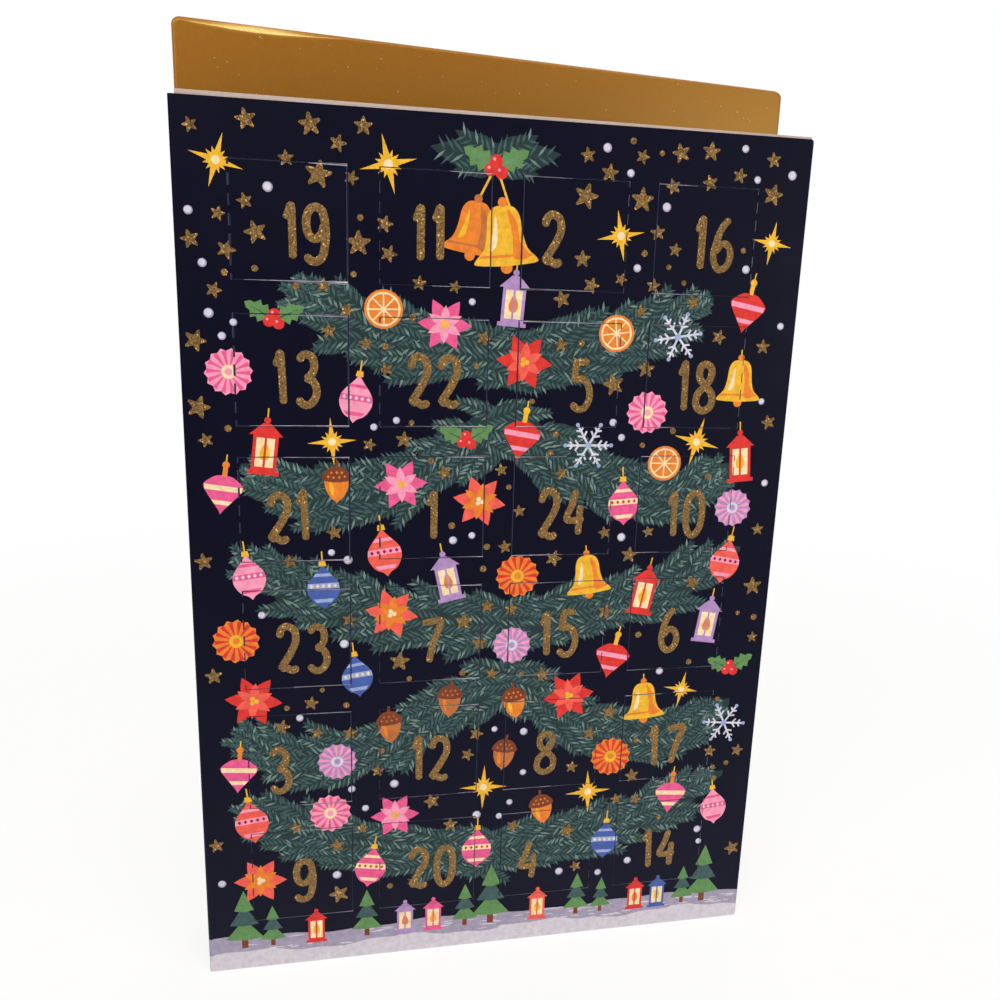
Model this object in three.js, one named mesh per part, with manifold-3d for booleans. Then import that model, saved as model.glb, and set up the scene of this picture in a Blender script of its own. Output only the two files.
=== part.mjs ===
// Advent calendar card: a folded card that stands on its lower edges, with a grid of opening doors
// in its front leaf, a picture sheet glued behind the doors, and its envelope standing behind it.
// Millimetres. X runs from the fold to the free edge, Y from the printed face to the back, Z up.
// The origin is the middle of the front leaf's lower edge.
import * as THREE from 'three';
import { mergeVertices } from 'three/addons/utils/BufferGeometryUtils.js';
import Module from 'manifold-3d';

// Card
const CARD_WIDTH = 145;
const CARD_HEIGHT = 210;
const BOARD = 0.4;
const CORNER_RADIUS = 0.7;
const LEAF_ANGLE = THREE.MathUtils.degToRad(7.8); // between the leaves as the card stands
const FOLD_GAP = 0.3; // between the front leaf and the fold that it turns on
const LEAF_ROOM = 0.3; // between the picture sheet and the back leaf when the card is shut

// Picture sheet, which stands a little above the front board
const GLUE = 0.1;
const PICTURE_SHEET = 0.3;
const PICTURE_FROM_FOLD = 0.35; // from the front board's edge at the fold
const PICTURE_FROM_EDGE = 0.3;
const PICTURE_LIFT = 0.2;
const PICTURE_PROUD_AT_FOLD = 1.06;
const PICTURE_PROUD_AT_EDGE = 0.55;
const GLUE_SETBACK = 0.8; // from the windows and from the sheets' edges

// Doors, top row first, as they stand on the card
const DOOR_NUMBERS = [
  [19, 11, 2, 16],
  [13, 22, 5, 18],
  [21, 1, 24, 10],
  [23, 7, 15, 6],
  [3, 12, 8, 17],
  [9, 20, 4, 14],
];
const LEFT_HINGED_COLUMNS = 2;
const FOLD_SIDE_MARGIN = 11.6;
const FREE_SIDE_MARGIN = 13;
const TOP_MARGIN = 11.9;
const FOOT_MARGIN = 13.9;
const DOOR_GAP = 7.2;
const CUT = 0.3; // width of a door's cut line
const TIES = 6; // uncut lengths of board that carry a door along its hinge line
const TIE_LENGTH = 1.6;
const PUNCH_OVERRUN = 1; // how far the tool that cuts a window passes each face of its sheet

// Envelope
const ENVELOPE_PAPER = 0.25;
const ENVELOPE_ROOM_WIDE = 16.2; // wider than the card
const ENVELOPE_ROOM_TALL = 20.7; // taller than the card
const ENVELOPE_STANDOFF = 20.1; // behind the back leaf
const ENVELOPE_SHIFT = 0.4; // along the back leaf, from the middle of the fold
const POCKET = 0.8;
const LAYER_GAP = 0.3;
const SIDE_FLAP_WIDTH = 18;
const SIDE_FLAP_TAPER = 6;
const THROAT = 12; // from the envelope's top down to the back panel
const CLOSING_FLAP_DEPTH = 60;
const CLOSING_FLAP_TAPER = 14;
const CLOSING_FLAP_ROUND = 9;
const CLOSING_FLAP_GAP = 0.3; // between the flap and the fold that it turns on

// Steps in a round corner and in a fold
const CORNER_STEPS = 4;
const FOLD_STEPS = 10;

// Places that follow from the sizes above
const FOLD_RADIUS = BOARD + (GLUE + PICTURE_SHEET + LEAF_ROOM) / 2;
const FRONT_START = FOLD_RADIUS + FOLD_GAP;
const GLUE_FACE = BOARD;
const PICTURE_FACE = GLUE_FACE + GLUE;
const PICTURE_START = FRONT_START + PICTURE_FROM_FOLD;
const PICTURE_END = CARD_WIDTH - PICTURE_FROM_EDGE;
const ROWS = DOOR_NUMBERS.length;
const COLUMNS = DOOR_NUMBERS[0].length;
const DOORS_WIDE = CARD_WIDTH - FOLD_SIDE_MARGIN - FREE_SIDE_MARGIN;
const DOORS_TALL = CARD_HEIGHT - TOP_MARGIN - FOOT_MARGIN;
const DOOR_WIDTH = (DOORS_WIDE - (COLUMNS - 1) * DOOR_GAP) / COLUMNS;
const DOOR_HEIGHT = (DOORS_TALL - (ROWS - 1) * DOOR_GAP) / ROWS;
const ENVELOPE_WIDTH = CARD_WIDTH + ENVELOPE_ROOM_WIDE;
const ENVELOPE_HEIGHT = CARD_HEIGHT + ENVELOPE_ROOM_TALL;

// Depths of the envelope's layers, from its front face
const SIDE_FLAP_FACE = ENVELOPE_PAPER + POCKET;
const BACK_PANEL_FACE = SIDE_FLAP_FACE + ENVELOPE_PAPER + LAYER_GAP;
const CLOSING_FLAP_FACE = BACK_PANEL_FACE + ENVELOPE_PAPER + LAYER_GAP;
const SIDE_FOLD_RADIUS = (SIDE_FLAP_FACE + ENVELOPE_PAPER) / 2;
const BOTTOM_FOLD_RADIUS = (BACK_PANEL_FACE + ENVELOPE_PAPER) / 2;
const TOP_FOLD_RADIUS = (CLOSING_FLAP_FACE + ENVELOPE_PAPER) / 2;
const PANEL_LEFT = SIDE_FOLD_RADIUS;
const PANEL_RIGHT = ENVELOPE_WIDTH - SIDE_FOLD_RADIUS;
const PANEL_BOTTOM = BOTTOM_FOLD_RADIUS;
const PANEL_TOP = ENVELOPE_HEIGHT - TOP_FOLD_RADIUS;

// Finishes
const PRINTED = { color: 0x1b1a30, roughness: 0.42, metalness: 0 };
const DOOR_PRINT = { color: 0x26354a, roughness: 0.42, metalness: 0 };
const WHITE_BOARD = { color: 0xe4ddd6, roughness: 0.85, metalness: 0 };
const ADHESIVE = { color: 0xd9d2c0, roughness: 0.6, metalness: 0 };
const GOLD_PAPER = { color: 0xa87432, roughness: 0.4, metalness: 0.55 };

const wasm = await Module();
wasm.setup();

function toSolid(geometry) {
  geometry.deleteAttribute('normal');
  geometry.deleteAttribute('uv');
  const merged = mergeVertices(geometry);
  const vertProperties = new Float32Array(merged.attributes.position.array);
  const triVerts = new Uint32Array(merged.index.array);
  return new wasm.Manifold(new wasm.Mesh({ numProp: 3, vertProperties, triVerts }));
}

function toGeometry(solid) {
  const mesh = solid.getMesh();
  const geometry = new THREE.BufferGeometry();
  geometry.setAttribute('position', new THREE.BufferAttribute(mesh.vertProperties, 3));
  geometry.setIndex(new THREE.BufferAttribute(mesh.triVerts, 1));
  geometry.computeVertexNormals();
  return geometry;
}

function addPiece(group, name, geometry, finish) {
  const mesh = new THREE.Mesh(geometry, new THREE.MeshStandardMaterial(finish));
  mesh.name = name;
  group.add(mesh);
  return mesh;
}

function extrudeSheet(outline, thickness) {
  const options = { depth: thickness, bevelEnabled: false, curveSegments: CORNER_STEPS };
  return new THREE.ExtrudeGeometry(outline, options);
}

// A sheet drawn in X and Z, set up with its front face at the given Y and its thickness behind that.
function addSheet(group, name, geometry, face, thickness, finish) {
  const mesh = addPiece(group, name, geometry, finish);
  mesh.rotation.x = Math.PI / 2;
  mesh.position.y = face + thickness;
  return mesh;
}

function addPlate(group, name, outline, face, thickness, finish) {
  return addSheet(group, name, extrudeSheet(outline, thickness), face, thickness, finish);
}

function polygon(points) {
  return new THREE.Shape(points.map(([x, z]) => new THREE.Vector2(x, z)));
}

function rectangle(left, right, bottom, top) {
  return polygon([[left, bottom], [right, bottom], [right, top], [left, top]]);
}

// A leaf of the card: square at the fold and rounded at its free corners.
function leafOutline(left, right, top) {
  const middle = right - CORNER_RADIUS;
  const shape = new THREE.Shape();
  shape.moveTo(left, 0);
  shape.lineTo(middle, 0);
  shape.absarc(middle, CORNER_RADIUS, CORNER_RADIUS, -Math.PI / 2, 0, false);
  shape.absarc(middle, top - CORNER_RADIUS, CORNER_RADIUS, 0, Math.PI / 2, false);
  shape.lineTo(left, top);
  return shape;
}

// The section of a sheet that turns round a fold.
function foldSection(radius, thickness, start, end) {
  const shape = new THREE.Shape();
  shape.absarc(0, 0, radius, start, end, false);
  shape.absarc(0, 0, radius - thickness, end, start, true);
  return shape;
}

function foldGeometry(radius, thickness, start, end, length) {
  const section = foldSection(radius, thickness, start, end);
  return new THREE.ExtrudeGeometry(section, { depth: length, bevelEnabled: false, curveSegments: FOLD_STEPS });
}

// The cell of one door, measured to the middle of its cut lines.
function doorCell(row, column) {
  const left = FOLD_SIDE_MARGIN + column * (DOOR_WIDTH + DOOR_GAP);
  const top = CARD_HEIGHT - TOP_MARGIN - row * (DOOR_HEIGHT + DOOR_GAP);
  return { left, right: left + DOOR_WIDTH, bottom: top - DOOR_HEIGHT, top };
}

// A sheet with a window for each door, which is the door's cell and a margin all round.
function windowedSheet(outline, thickness, margin) {
  let solid = toSolid(extrudeSheet(outline, thickness));
  for (let row = 0; row < ROWS; row += 1) {
    for (let column = 0; column < COLUMNS; column += 1) {
      const { left, right, bottom, top } = doorCell(row, column);
      const window = rectangle(left - margin, right + margin, bottom - margin, top + margin);
      const punch = extrudeSheet(window, thickness + 2 * PUNCH_OVERRUN).translate(0, 0, -PUNCH_OVERRUN);
      solid = solid.subtract(toSolid(punch));
    }
  }
  return toGeometry(solid);
}

// A door drawn from its hinge line, with side 1 for a door that reaches to +X and -1 to -X.
// The ties reach the window's edge, and slots as wide as the cut part them.
function doorOutline(side) {
  const pitch = DOOR_HEIGHT / TIES;
  const points = [[DOOR_WIDTH, 0], [DOOR_WIDTH, DOOR_HEIGHT - CUT], [CUT, DOOR_HEIGHT - CUT]];
  for (let tie = TIES - 1; tie >= 0; tie -= 1) {
    const middle = (tie + 0.5) * pitch - CUT / 2;
    const high = middle + TIE_LENGTH / 2;
    const low = middle - TIE_LENGTH / 2;
    points.push([CUT, high], [0, high], [0, low], [CUT, low]);
  }
  points.push([CUT, 0]);
  return polygon(points.map(([reach, height]) => [side * reach, height]));
}

function buildFrontLeaf() {
  const leaf = new THREE.Group();
  const board = windowedSheet(leafOutline(FRONT_START, CARD_WIDTH, CARD_HEIGHT), BOARD, CUT / 2);
  addSheet(leaf, 'front_board', board, 0, BOARD, PRINTED);

  const glueOutline = rectangle(
    PICTURE_START + GLUE_SETBACK,
    PICTURE_END - GLUE_SETBACK,
    PICTURE_LIFT + GLUE_SETBACK,
    CARD_HEIGHT - GLUE_SETBACK,
  );
  const glue = windowedSheet(glueOutline, GLUE, CUT / 2 + GLUE_SETBACK);
  addSheet(leaf, 'glue_layer', glue, GLUE_FACE, GLUE, ADHESIVE);

  const picture = polygon([
    [PICTURE_START, PICTURE_LIFT],
    [PICTURE_END, PICTURE_LIFT],
    [PICTURE_END, CARD_HEIGHT + PICTURE_PROUD_AT_EDGE],
    [PICTURE_START, CARD_HEIGHT + PICTURE_PROUD_AT_FOLD],
  ]);
  addPlate(leaf, 'picture_sheet', picture, PICTURE_FACE, PICTURE_SHEET, WHITE_BOARD);
  return leaf;
}

function buildDoors() {
  const doors = new THREE.Group();
  DOOR_NUMBERS.forEach((numbers, row) => {
    numbers.forEach((number, column) => {
      const cell = doorCell(row, column);
      const side = column < LEFT_HINGED_COLUMNS ? 1 : -1;
      const name = `door_${String(number).padStart(2, '0')}`;
      const door = addPlate(doors, name, doorOutline(side), 0, BOARD, DOOR_PRINT);
      door.position.x = side > 0 ? cell.left - CUT / 2 : cell.right + CUT / 2;
      door.position.z = cell.bottom + CUT / 2;
    });
  });
  return doors;
}

// The back leaf and the round fold that joins it to the front leaf, about the middle of the fold.
function buildBackLeaf() {
  const leaf = new THREE.Group();
  const outline = leafOutline(0, CARD_WIDTH - FOLD_RADIUS, CARD_HEIGHT);
  addPlate(leaf, 'back_board', outline, FOLD_RADIUS - BOARD, BOARD, PRINTED);
  const fold = foldGeometry(FOLD_RADIUS, BOARD, Math.PI / 2, 1.5 * Math.PI - LEAF_ANGLE, CARD_HEIGHT);
  addPiece(leaf, 'spine_fold', fold, PRINTED);
  return leaf;
}

function addEnvelopePanels(envelope) {
  const front = rectangle(PANEL_LEFT, PANEL_RIGHT, PANEL_BOTTOM, PANEL_TOP);
  addPlate(envelope, 'envelope_front_panel', front, 0, ENVELOPE_PAPER, GOLD_PAPER);
  const back = rectangle(PANEL_LEFT, PANEL_RIGHT, PANEL_BOTTOM, ENVELOPE_HEIGHT - THROAT);
  addPlate(envelope, 'envelope_back_panel', back, BACK_PANEL_FACE, ENVELOPE_PAPER, GOLD_PAPER);
}

// The narrow flaps inside the back panel, with the side folds that join them to the front panel.
function addEnvelopeSides(envelope) {
  const foldLength = PANEL_TOP - PANEL_BOTTOM;
  const sides = [
    { name: 'left', edge: PANEL_LEFT, reach: 1, start: Math.PI / 2 },
    { name: 'right', edge: PANEL_RIGHT, reach: -1, start: -Math.PI / 2 },
  ];
  for (const { name, edge, reach, start } of sides) {
    const inner = edge + reach * SIDE_FLAP_WIDTH;
    const flap = polygon([
      [edge, PANEL_BOTTOM],
      [inner, PANEL_BOTTOM + SIDE_FLAP_TAPER],
      [inner, ENVELOPE_HEIGHT - THROAT - SIDE_FLAP_TAPER],
      [edge, ENVELOPE_HEIGHT - THROAT],
    ]);
    addPlate(envelope, `envelope_${name}_flap`, flap, SIDE_FLAP_FACE, ENVELOPE_PAPER, GOLD_PAPER);
    const geometry = foldGeometry(SIDE_FOLD_RADIUS, ENVELOPE_PAPER, start, start + Math.PI, foldLength);
    const fold = addPiece(envelope, `envelope_${name}_fold`, geometry, GOLD_PAPER);
    fold.position.set(edge, SIDE_FOLD_RADIUS, PANEL_BOTTOM);
  }
}

// The folds along the envelope's lower and upper edges, drawn in Y and Z and run along X.
function addEnvelopeEnds(envelope) {
  const alongWidth = new THREE.Matrix4().makeBasis(
    new THREE.Vector3(0, 1, 0),
    new THREE.Vector3(0, 0, 1),
    new THREE.Vector3(1, 0, 0),
  );
  const length = PANEL_RIGHT - PANEL_LEFT;
  const bottom = foldGeometry(BOTTOM_FOLD_RADIUS, ENVELOPE_PAPER, Math.PI, 2 * Math.PI, length);
  const bottomFold = addPiece(envelope, 'envelope_bottom_fold', bottom.applyMatrix4(alongWidth), GOLD_PAPER);
  bottomFold.position.set(PANEL_LEFT, BOTTOM_FOLD_RADIUS, PANEL_BOTTOM);
  const top = foldGeometry(TOP_FOLD_RADIUS, ENVELOPE_PAPER, 0, Math.PI, length);
  const topFold = addPiece(envelope, 'envelope_top_fold', top.applyMatrix4(alongWidth), GOLD_PAPER);
  topFold.position.set(PANEL_LEFT, TOP_FOLD_RADIUS, PANEL_TOP);
}

// The closing flap hangs behind the back panel from just under the top fold.
function addClosingFlap(envelope) {
  const high = PANEL_TOP - CLOSING_FLAP_GAP;
  const low = high - CLOSING_FLAP_DEPTH;
  const left = PANEL_LEFT + CLOSING_FLAP_TAPER;
  const right = PANEL_RIGHT - CLOSING_FLAP_TAPER;
  const round = CLOSING_FLAP_ROUND;
  const shape = new THREE.Shape();
  shape.moveTo(PANEL_LEFT, high);
  shape.lineTo(left, low + round);
  shape.absarc(left + round, low + round, round, Math.PI, 1.5 * Math.PI, false);
  shape.absarc(right - round, low + round, round, -Math.PI / 2, 0, false);
  shape.lineTo(PANEL_RIGHT, high);
  addPlate(envelope, 'envelope_closing_flap', shape, CLOSING_FLAP_FACE, ENVELOPE_PAPER, GOLD_PAPER);
}

function buildEnvelope() {
  const envelope = new THREE.Group();
  addEnvelopePanels(envelope);
  addEnvelopeSides(envelope);
  addEnvelopeEnds(envelope);
  addClosingFlap(envelope);
  envelope.position.set(ENVELOPE_SHIFT, FOLD_RADIUS + ENVELOPE_STANDOFF, 0);
  return envelope;
}

const turned = new THREE.Group();
turned.add(buildBackLeaf(), buildEnvelope());
turned.position.set(FOLD_RADIUS, FOLD_RADIUS, 0);
turned.rotation.z = LEAF_ANGLE;

const model = new THREE.Group();
model.add(buildFrontLeaf(), buildDoors(), turned);
model.position.set(-CARD_WIDTH / 2, -BOARD / 2, 0);

export default model;
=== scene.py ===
"""Looks of the advent calendar card: printed board, glitter, picture sheet, fold and gold envelope."""

import math
import random
from typing import NamedTuple

import bmesh
import bpy
from bpy.props import FloatProperty, FloatVectorProperty, IntProperty, PointerProperty
from mathutils import Matrix, Vector
from mathutils.geometry import delaunay_2d_cdt


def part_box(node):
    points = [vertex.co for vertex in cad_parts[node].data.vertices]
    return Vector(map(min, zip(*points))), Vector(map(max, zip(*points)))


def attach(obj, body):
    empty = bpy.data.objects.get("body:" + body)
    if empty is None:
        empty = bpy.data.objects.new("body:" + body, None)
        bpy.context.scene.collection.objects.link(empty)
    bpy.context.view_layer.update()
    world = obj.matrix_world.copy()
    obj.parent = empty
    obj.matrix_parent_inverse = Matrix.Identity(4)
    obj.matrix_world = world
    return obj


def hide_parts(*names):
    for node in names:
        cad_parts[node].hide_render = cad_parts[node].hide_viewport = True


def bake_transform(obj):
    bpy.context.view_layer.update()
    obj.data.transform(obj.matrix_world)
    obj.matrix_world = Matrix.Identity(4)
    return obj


bl_info = {
    "name": "Advent calendar card",
    "version": (1, 0, 0),
    "blender": (4, 5, 0),
    "location": "View3D > Sidebar > Advent Card",
    "description": "Dresses an advent calendar card and its envelope",
    "category": "Object",
}

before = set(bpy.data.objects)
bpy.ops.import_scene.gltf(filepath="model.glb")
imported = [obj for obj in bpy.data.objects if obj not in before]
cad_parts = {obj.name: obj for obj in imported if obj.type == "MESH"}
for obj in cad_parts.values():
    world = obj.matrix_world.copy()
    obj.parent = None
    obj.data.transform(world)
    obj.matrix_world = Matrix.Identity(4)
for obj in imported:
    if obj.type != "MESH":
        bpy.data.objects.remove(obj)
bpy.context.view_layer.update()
MM = 0.001

# The front leaf as the frame has it. Card places are in millimetres: across from the fold, up from the foot.
BOARD_LOW, BOARD_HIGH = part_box("front_board")
SPINE_LOW, SPINE_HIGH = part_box("spine_fold")
FACE_Y = BOARD_LOW.y
BOARD = BOARD_HIGH.y - BOARD_LOW.y
CARD_HEIGHT = BOARD_HIGH.z / MM
CARD_LEFT = SPINE_LOW.x
CARD_WIDTH = (BOARD_HIGH.x - CARD_LEFT) / MM
BOARD_START = (BOARD_LOW.x - CARD_LEFT) / MM
CORNER_RADIUS = 0.7
LEFT_HINGED_COLUMNS = 2

# The back leaf is turned about the middle of the fold, and so is the envelope behind it.
LEAF_ANGLE = math.radians(7.8)
FOLD_RADIUS = (SPINE_HIGH.y - FACE_Y) / 2
LEAF_PIVOT = Vector((CARD_LEFT + FOLD_RADIUS, FACE_Y + FOLD_RADIUS, 0))
LEAF_TURN = Matrix.Rotation(LEAF_ANGLE, 3, "Z")
FROM_LEAF = Matrix.Translation(LEAF_PIVOT) @ LEAF_TURN.to_4x4()

# Thickness of the ink sheet on the back leaf, and how many glitter stars it has
BACK_INK = 0.02
BACK_STARS = 46
# Height of a picture behind a door, and how far its corner stars are from its middle
PICTURE_HEIGHT = 17.0
PICTURE_STAR = 8.4
GLUE_COLOUR = (0.68, 0.62, 0.5)

# Where along the envelope's top the crease is loosest and how far that reaches, as shares of its width
LOOSE_PLACE = 0.115
LOOSE_REACH = 0.13
# How much flatter the top fold is than a round one
TOP_FLATNESS = 0.8
# A narrow ring round the front panel keeps the shading of the panel even.
PANEL_MARGIN = 0.7 * MM

# Place, width and colour of each lamp, and the place that all of them point at, in metres
LAMPS = {
    "key": ((-0.55, -0.75, 0.95), 0.9, (1, 1, 1)),
    "fill": ((0.5, -0.45, 0.18), 0.34, (1, 1, 1)),
    "crease": ((0.016, -0.21, 0.98), 0.28, (1, 0.97, 0.9)),
    "back": ((0.45, 1.1, 0.8), 0.9, (1, 1, 1)),
}
LAMP_TARGET = (0, 0, 0.1)

# The camera's place and directions as the photo shows the card
CAMERA_PLACE = Vector((-0.040273, -0.202216, 0.170040))
CAMERA_RIGHT = Vector((0.98185611, -0.18716974, 0.03043148))
CAMERA_DOWN = Vector((-0.01198572, -0.22141491, -0.97510604))
CAMERA_AHEAD = Vector((0.18924832, 0.95704907, -0.21964095))

# Middle of each numeral on the card, by row from the top
NUMERAL_ROWS = (
    ((19, 27.5, 183.7), (11, 54.1, 184.4), (2, 82.7, 184.6), (16, 121.8, 185.4)),
    ((13, 24.8, 152.3), (22, 55.9, 151.9), (5, 91.1, 151.6), (18, 120.4, 151.4)),
    ((21, 22.3, 120.2), (1, 55.7, 120.2), (24, 87.8, 120.0), (10, 120.1, 119.5)),
    ((23, 25.1, 87.8), (7, 55.9, 88.5), (15, 88.4, 88.9), (6, 118.2, 88.5)),
    ((3, 18.9, 55.4), (12, 56.2, 56.0), (8, 86.4, 55.5), (17, 119.7, 55.6)),
    ((9, 24.4, 24.7), (20, 56.8, 24.9), (4, 83.1, 24.7), (14, 120.2, 24.4)),
)
NUMERALS = [numeral for row in NUMERAL_ROWS for numeral in row]

# Brush strokes of each figure in a box one wide and one high
FIGURES = {
    0: (
        ((0.5, 1.0), (0.12, 0.82), (0.02, 0.5), (0.14, 0.14), (0.5, 0.0), (0.88, 0.16), (0.98, 0.5), (0.86, 0.84),
         (0.5, 1.0)),
    ),
    1: (((0.0, 0.74), (0.3, 0.87), (0.58, 1.0), (0.64, 0.7), (0.68, 0.35), (0.72, 0.0)),),
    2: (
        ((0.04, 0.74), (0.16, 0.93), (0.48, 1.0), (0.84, 0.9), (0.9, 0.68), (0.66, 0.44), (0.3, 0.2), (0.02, 0.02)),
        ((0.02, 0.02), (0.34, 0.06), (0.66, 0.0), (1.0, 0.07)),
    ),
    3: (
        ((0.06, 0.86), (0.36, 1.0), (0.76, 0.94), (0.84, 0.74), (0.66, 0.58), (0.36, 0.53)),
        ((0.36, 0.53), (0.78, 0.48), (0.98, 0.27), (0.78, 0.06), (0.38, 0.0), (0.02, 0.14)),
    ),
    4: (
        ((0.5, 1.0), (0.3, 0.68), (0.02, 0.36), (0.5, 0.33), (1.0, 0.36)),
        ((0.76, 0.66), (0.72, 0.32), (0.7, 0.0)),
    ),
    5: (
        ((0.92, 0.98), (0.56, 0.99), (0.24, 0.96), (0.18, 0.78), (0.12, 0.57)),
        ((0.12, 0.57), (0.46, 0.65), (0.86, 0.52), (0.98, 0.28), (0.76, 0.05), (0.36, 0.0), (0.0, 0.13)),
    ),
    6: (
        ((0.78, 1.0), (0.4, 0.82), (0.12, 0.5), (0.06, 0.2), (0.36, 0.0), (0.78, 0.05), (0.98, 0.26), (0.82, 0.46),
         (0.46, 0.5), (0.12, 0.32)),
    ),
    7: (((0.0, 0.94), (0.5, 0.97), (1.0, 0.98), (0.78, 0.66), (0.54, 0.34), (0.4, 0.0)),),
    8: (
        ((0.56, 0.54), (0.18, 0.7), (0.2, 0.93), (0.54, 1.0), (0.86, 0.9), (0.82, 0.7), (0.5, 0.53), (0.1, 0.36),
         (0.04, 0.12), (0.44, 0.0), (0.9, 0.1), (0.96, 0.34), (0.56, 0.54)),
    ),
    9: (
        ((0.92, 0.72), (0.82, 0.93), (0.5, 1.0), (0.18, 0.93), (0.03, 0.72), (0.13, 0.5), (0.44, 0.42), (0.76, 0.52),
         (0.92, 0.72)),
        ((0.88, 0.88), (0.95, 0.62), (0.92, 0.35), (0.76, 0.1), (0.44, 0.0), (0.12, 0.04), (0.03, 0.14)),
    ),
}
NARROW_FIGURE = 1


def ink(label, red, green, blue):
    """A colour property whose default is given as on a paint chart, 0 to 255."""
    def linear(value):
        share = value / 255
        return share / 12.92 if share <= 0.04045 else ((share + 0.055) / 1.055) ** 2.4

    default = (linear(red), linear(green), linear(blue))
    text = f"Colour of the {label.lower()}"
    return FloatVectorProperty(name=label, description=text, default=default, subtype="COLOR", size=3, min=0, max=1)


def size(label, value, text):
    """A length property whose default is given in millimetres."""
    kind = {"unit": "LENGTH", "subtype": "DISTANCE", "precision": 5, "min": 0}
    return FloatProperty(name=label, description=text, default=value * MM, **kind)


def strength(label, value, text, **kind):
    return FloatProperty(name=label, description=text, default=value, min=0, **kind)


class PrintColours(bpy.types.PropertyGroup):
    """Inks of the front print."""
    night: ink("Night sky", 3, 2, 31)
    snow_light: ink("Snow in the light", 205, 198, 208)
    snow_shade: ink("Snow in the shade", 158, 150, 172)
    fir_dark: ink("Fir in the shade", 38, 56, 58)
    fir_mid: ink("Fir needles", 64, 90, 89)
    fir_light: ink("Fir tips", 108, 132, 125)
    leaf_green: ink("Holly leaf", 96, 138, 84)
    red: ink("Red", 214, 52, 46)
    dark_red: ink("Dark red", 150, 30, 42)
    coral: ink("Coral", 232, 92, 78)
    pink: ink("Pink", 226, 88, 140)
    pale_pink: ink("Pale pink", 240, 150, 178)
    orange: ink("Orange", 226, 126, 44)
    yellow: ink("Yellow", 232, 176, 48)
    cream: ink("Cream", 240, 216, 170)
    lilac: ink("Lilac", 172, 136, 188)
    blue: ink("Blue", 70, 92, 164)
    pale_blue: ink("Pale blue", 150, 166, 206)
    white: ink("White dots", 206, 203, 218)
    brown: ink("Brown", 122, 62, 38)
    tan: ink("Tan", 186, 108, 58)
    glitter: ink("Glitter", 142, 108, 60)
    cut_edge: ink("Cut edge", 186, 180, 198)
    score: ink("Pressed line", 52, 56, 82)
    backing: ink("Backing", 50, 48, 68)
    board: ink("Bare board", 194, 176, 166)


class PrintSizes(bpy.types.PropertyGroup):
    """Sizes of the print, the numerals and the cuts."""
    numeral_height: size("Numeral height", 13.2, "Height of a numeral over its brush strokes")
    figure_width: size("Figure width", 6.3, "Width of a broad figure over its brush strokes")
    narrow_width: size("Narrow figure width", 3.9, "Width of the figure one")
    stroke: size("Brush stroke", 1.8, "Width of a numeral's brush stroke")
    figure_gap: size("Figure gap", 0.5, "Gap between the two figures of a numeral")
    relief: size("Numeral relief", 0.16, "Height of a numeral above the board")
    glitter_relief: size("Glitter relief", 0.05, "Height of the glitter stars and dots above the board")
    cut: size("Cut", 0.3, "Width of a door's slot in the frame")
    visible_cut: size("Visible cut", 0.14, "Width of a door's cut line as the board shows it")
    worn_line: size("Worn line", 0.14, "Width of the bare fibres on each side of a cut")
    pressed_line: size("Pressed line", 0.5, "Width of a pressed dash of a hinge line")
    tie: size("Tie", 1.6, "Length of board left uncut between two slots of a hinge line")
    door_lift: size("Door lift", 0.5, "How far the free side of a door springs out of its window")
    garland_thickness: size("Garland thickness", 15.0, "Height of a fir garland")
    snow_height: size("Snow height", 9.0, "Height of the snow along the foot")
    ties: IntProperty(name="Ties", description="Uncut lengths along a hinge line", default=6, min=2)
    seed: IntProperty(name="Seed", description="Layout of the scattered stars and ornaments", default=24, min=0)


class CardSizes(bpy.types.PropertyGroup):
    """Sizes of the sheets behind the front print."""
    picture_frame: size("Picture frame", 1.1, "White border of a picture inside the cell of its door")
    bare_strip: size("Bare strip", 5.0, "Height of the unprinted strip along the top of the picture sheet")
    fold_steps: IntProperty(name="Fold steps", description="Facets round the fold", default=16, min=4)


class EnvelopeSettings(bpy.types.PropertyGroup):
    """Colours and sizes of the envelope."""
    gold: ink("Gold paper", 161, 100, 26)
    lining: ink("Gold paper inside", 206, 176, 122)
    corner: size("Envelope corner", 2.0, "Radius of the envelope's corners as seen from the front")
    crease: size("Top crease", 0.9, "How far the pressed top fold slopes down the front panel")
    loose_crease: size("Loose top crease", 1.95, "How far the top fold slopes down where it wasn't pressed")
    paper: size("Envelope paper", 0.25, "Thickness of the envelope's paper")


class StageSettings(bpy.types.PropertyGroup):
    """Floor, lamps and camera."""
    floor: ink("Floor", 245, 244, 242)
    world_level: strength("World level", 0.4, "Strength of the light from all round")
    room_level: strength("Room level", 0.15, "Strength of the dim room in reflections")
    key_power: strength("Key lamp", 5.8, "Power of the soft lamp at the upper left", unit="POWER")
    fill_power: strength("Fill lamp", 0.9, "Power of the soft lamp at the right", unit="POWER")
    crease_power: strength("Crease lamp", 3.8, "Power of the lamp that shines on the envelope's top", unit="POWER")
    back_power: strength("Back lamp", 3.0, "Power of the soft lamp behind the envelope", unit="POWER")
    lens: FloatProperty(name="Lens", description="Focal length", default=31.42, min=1, unit="CAMERA")


# Shader groups

SURFACE = {"Colour": "Base Color", "Roughness": "Roughness", "Normal": "Normal"}


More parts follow.
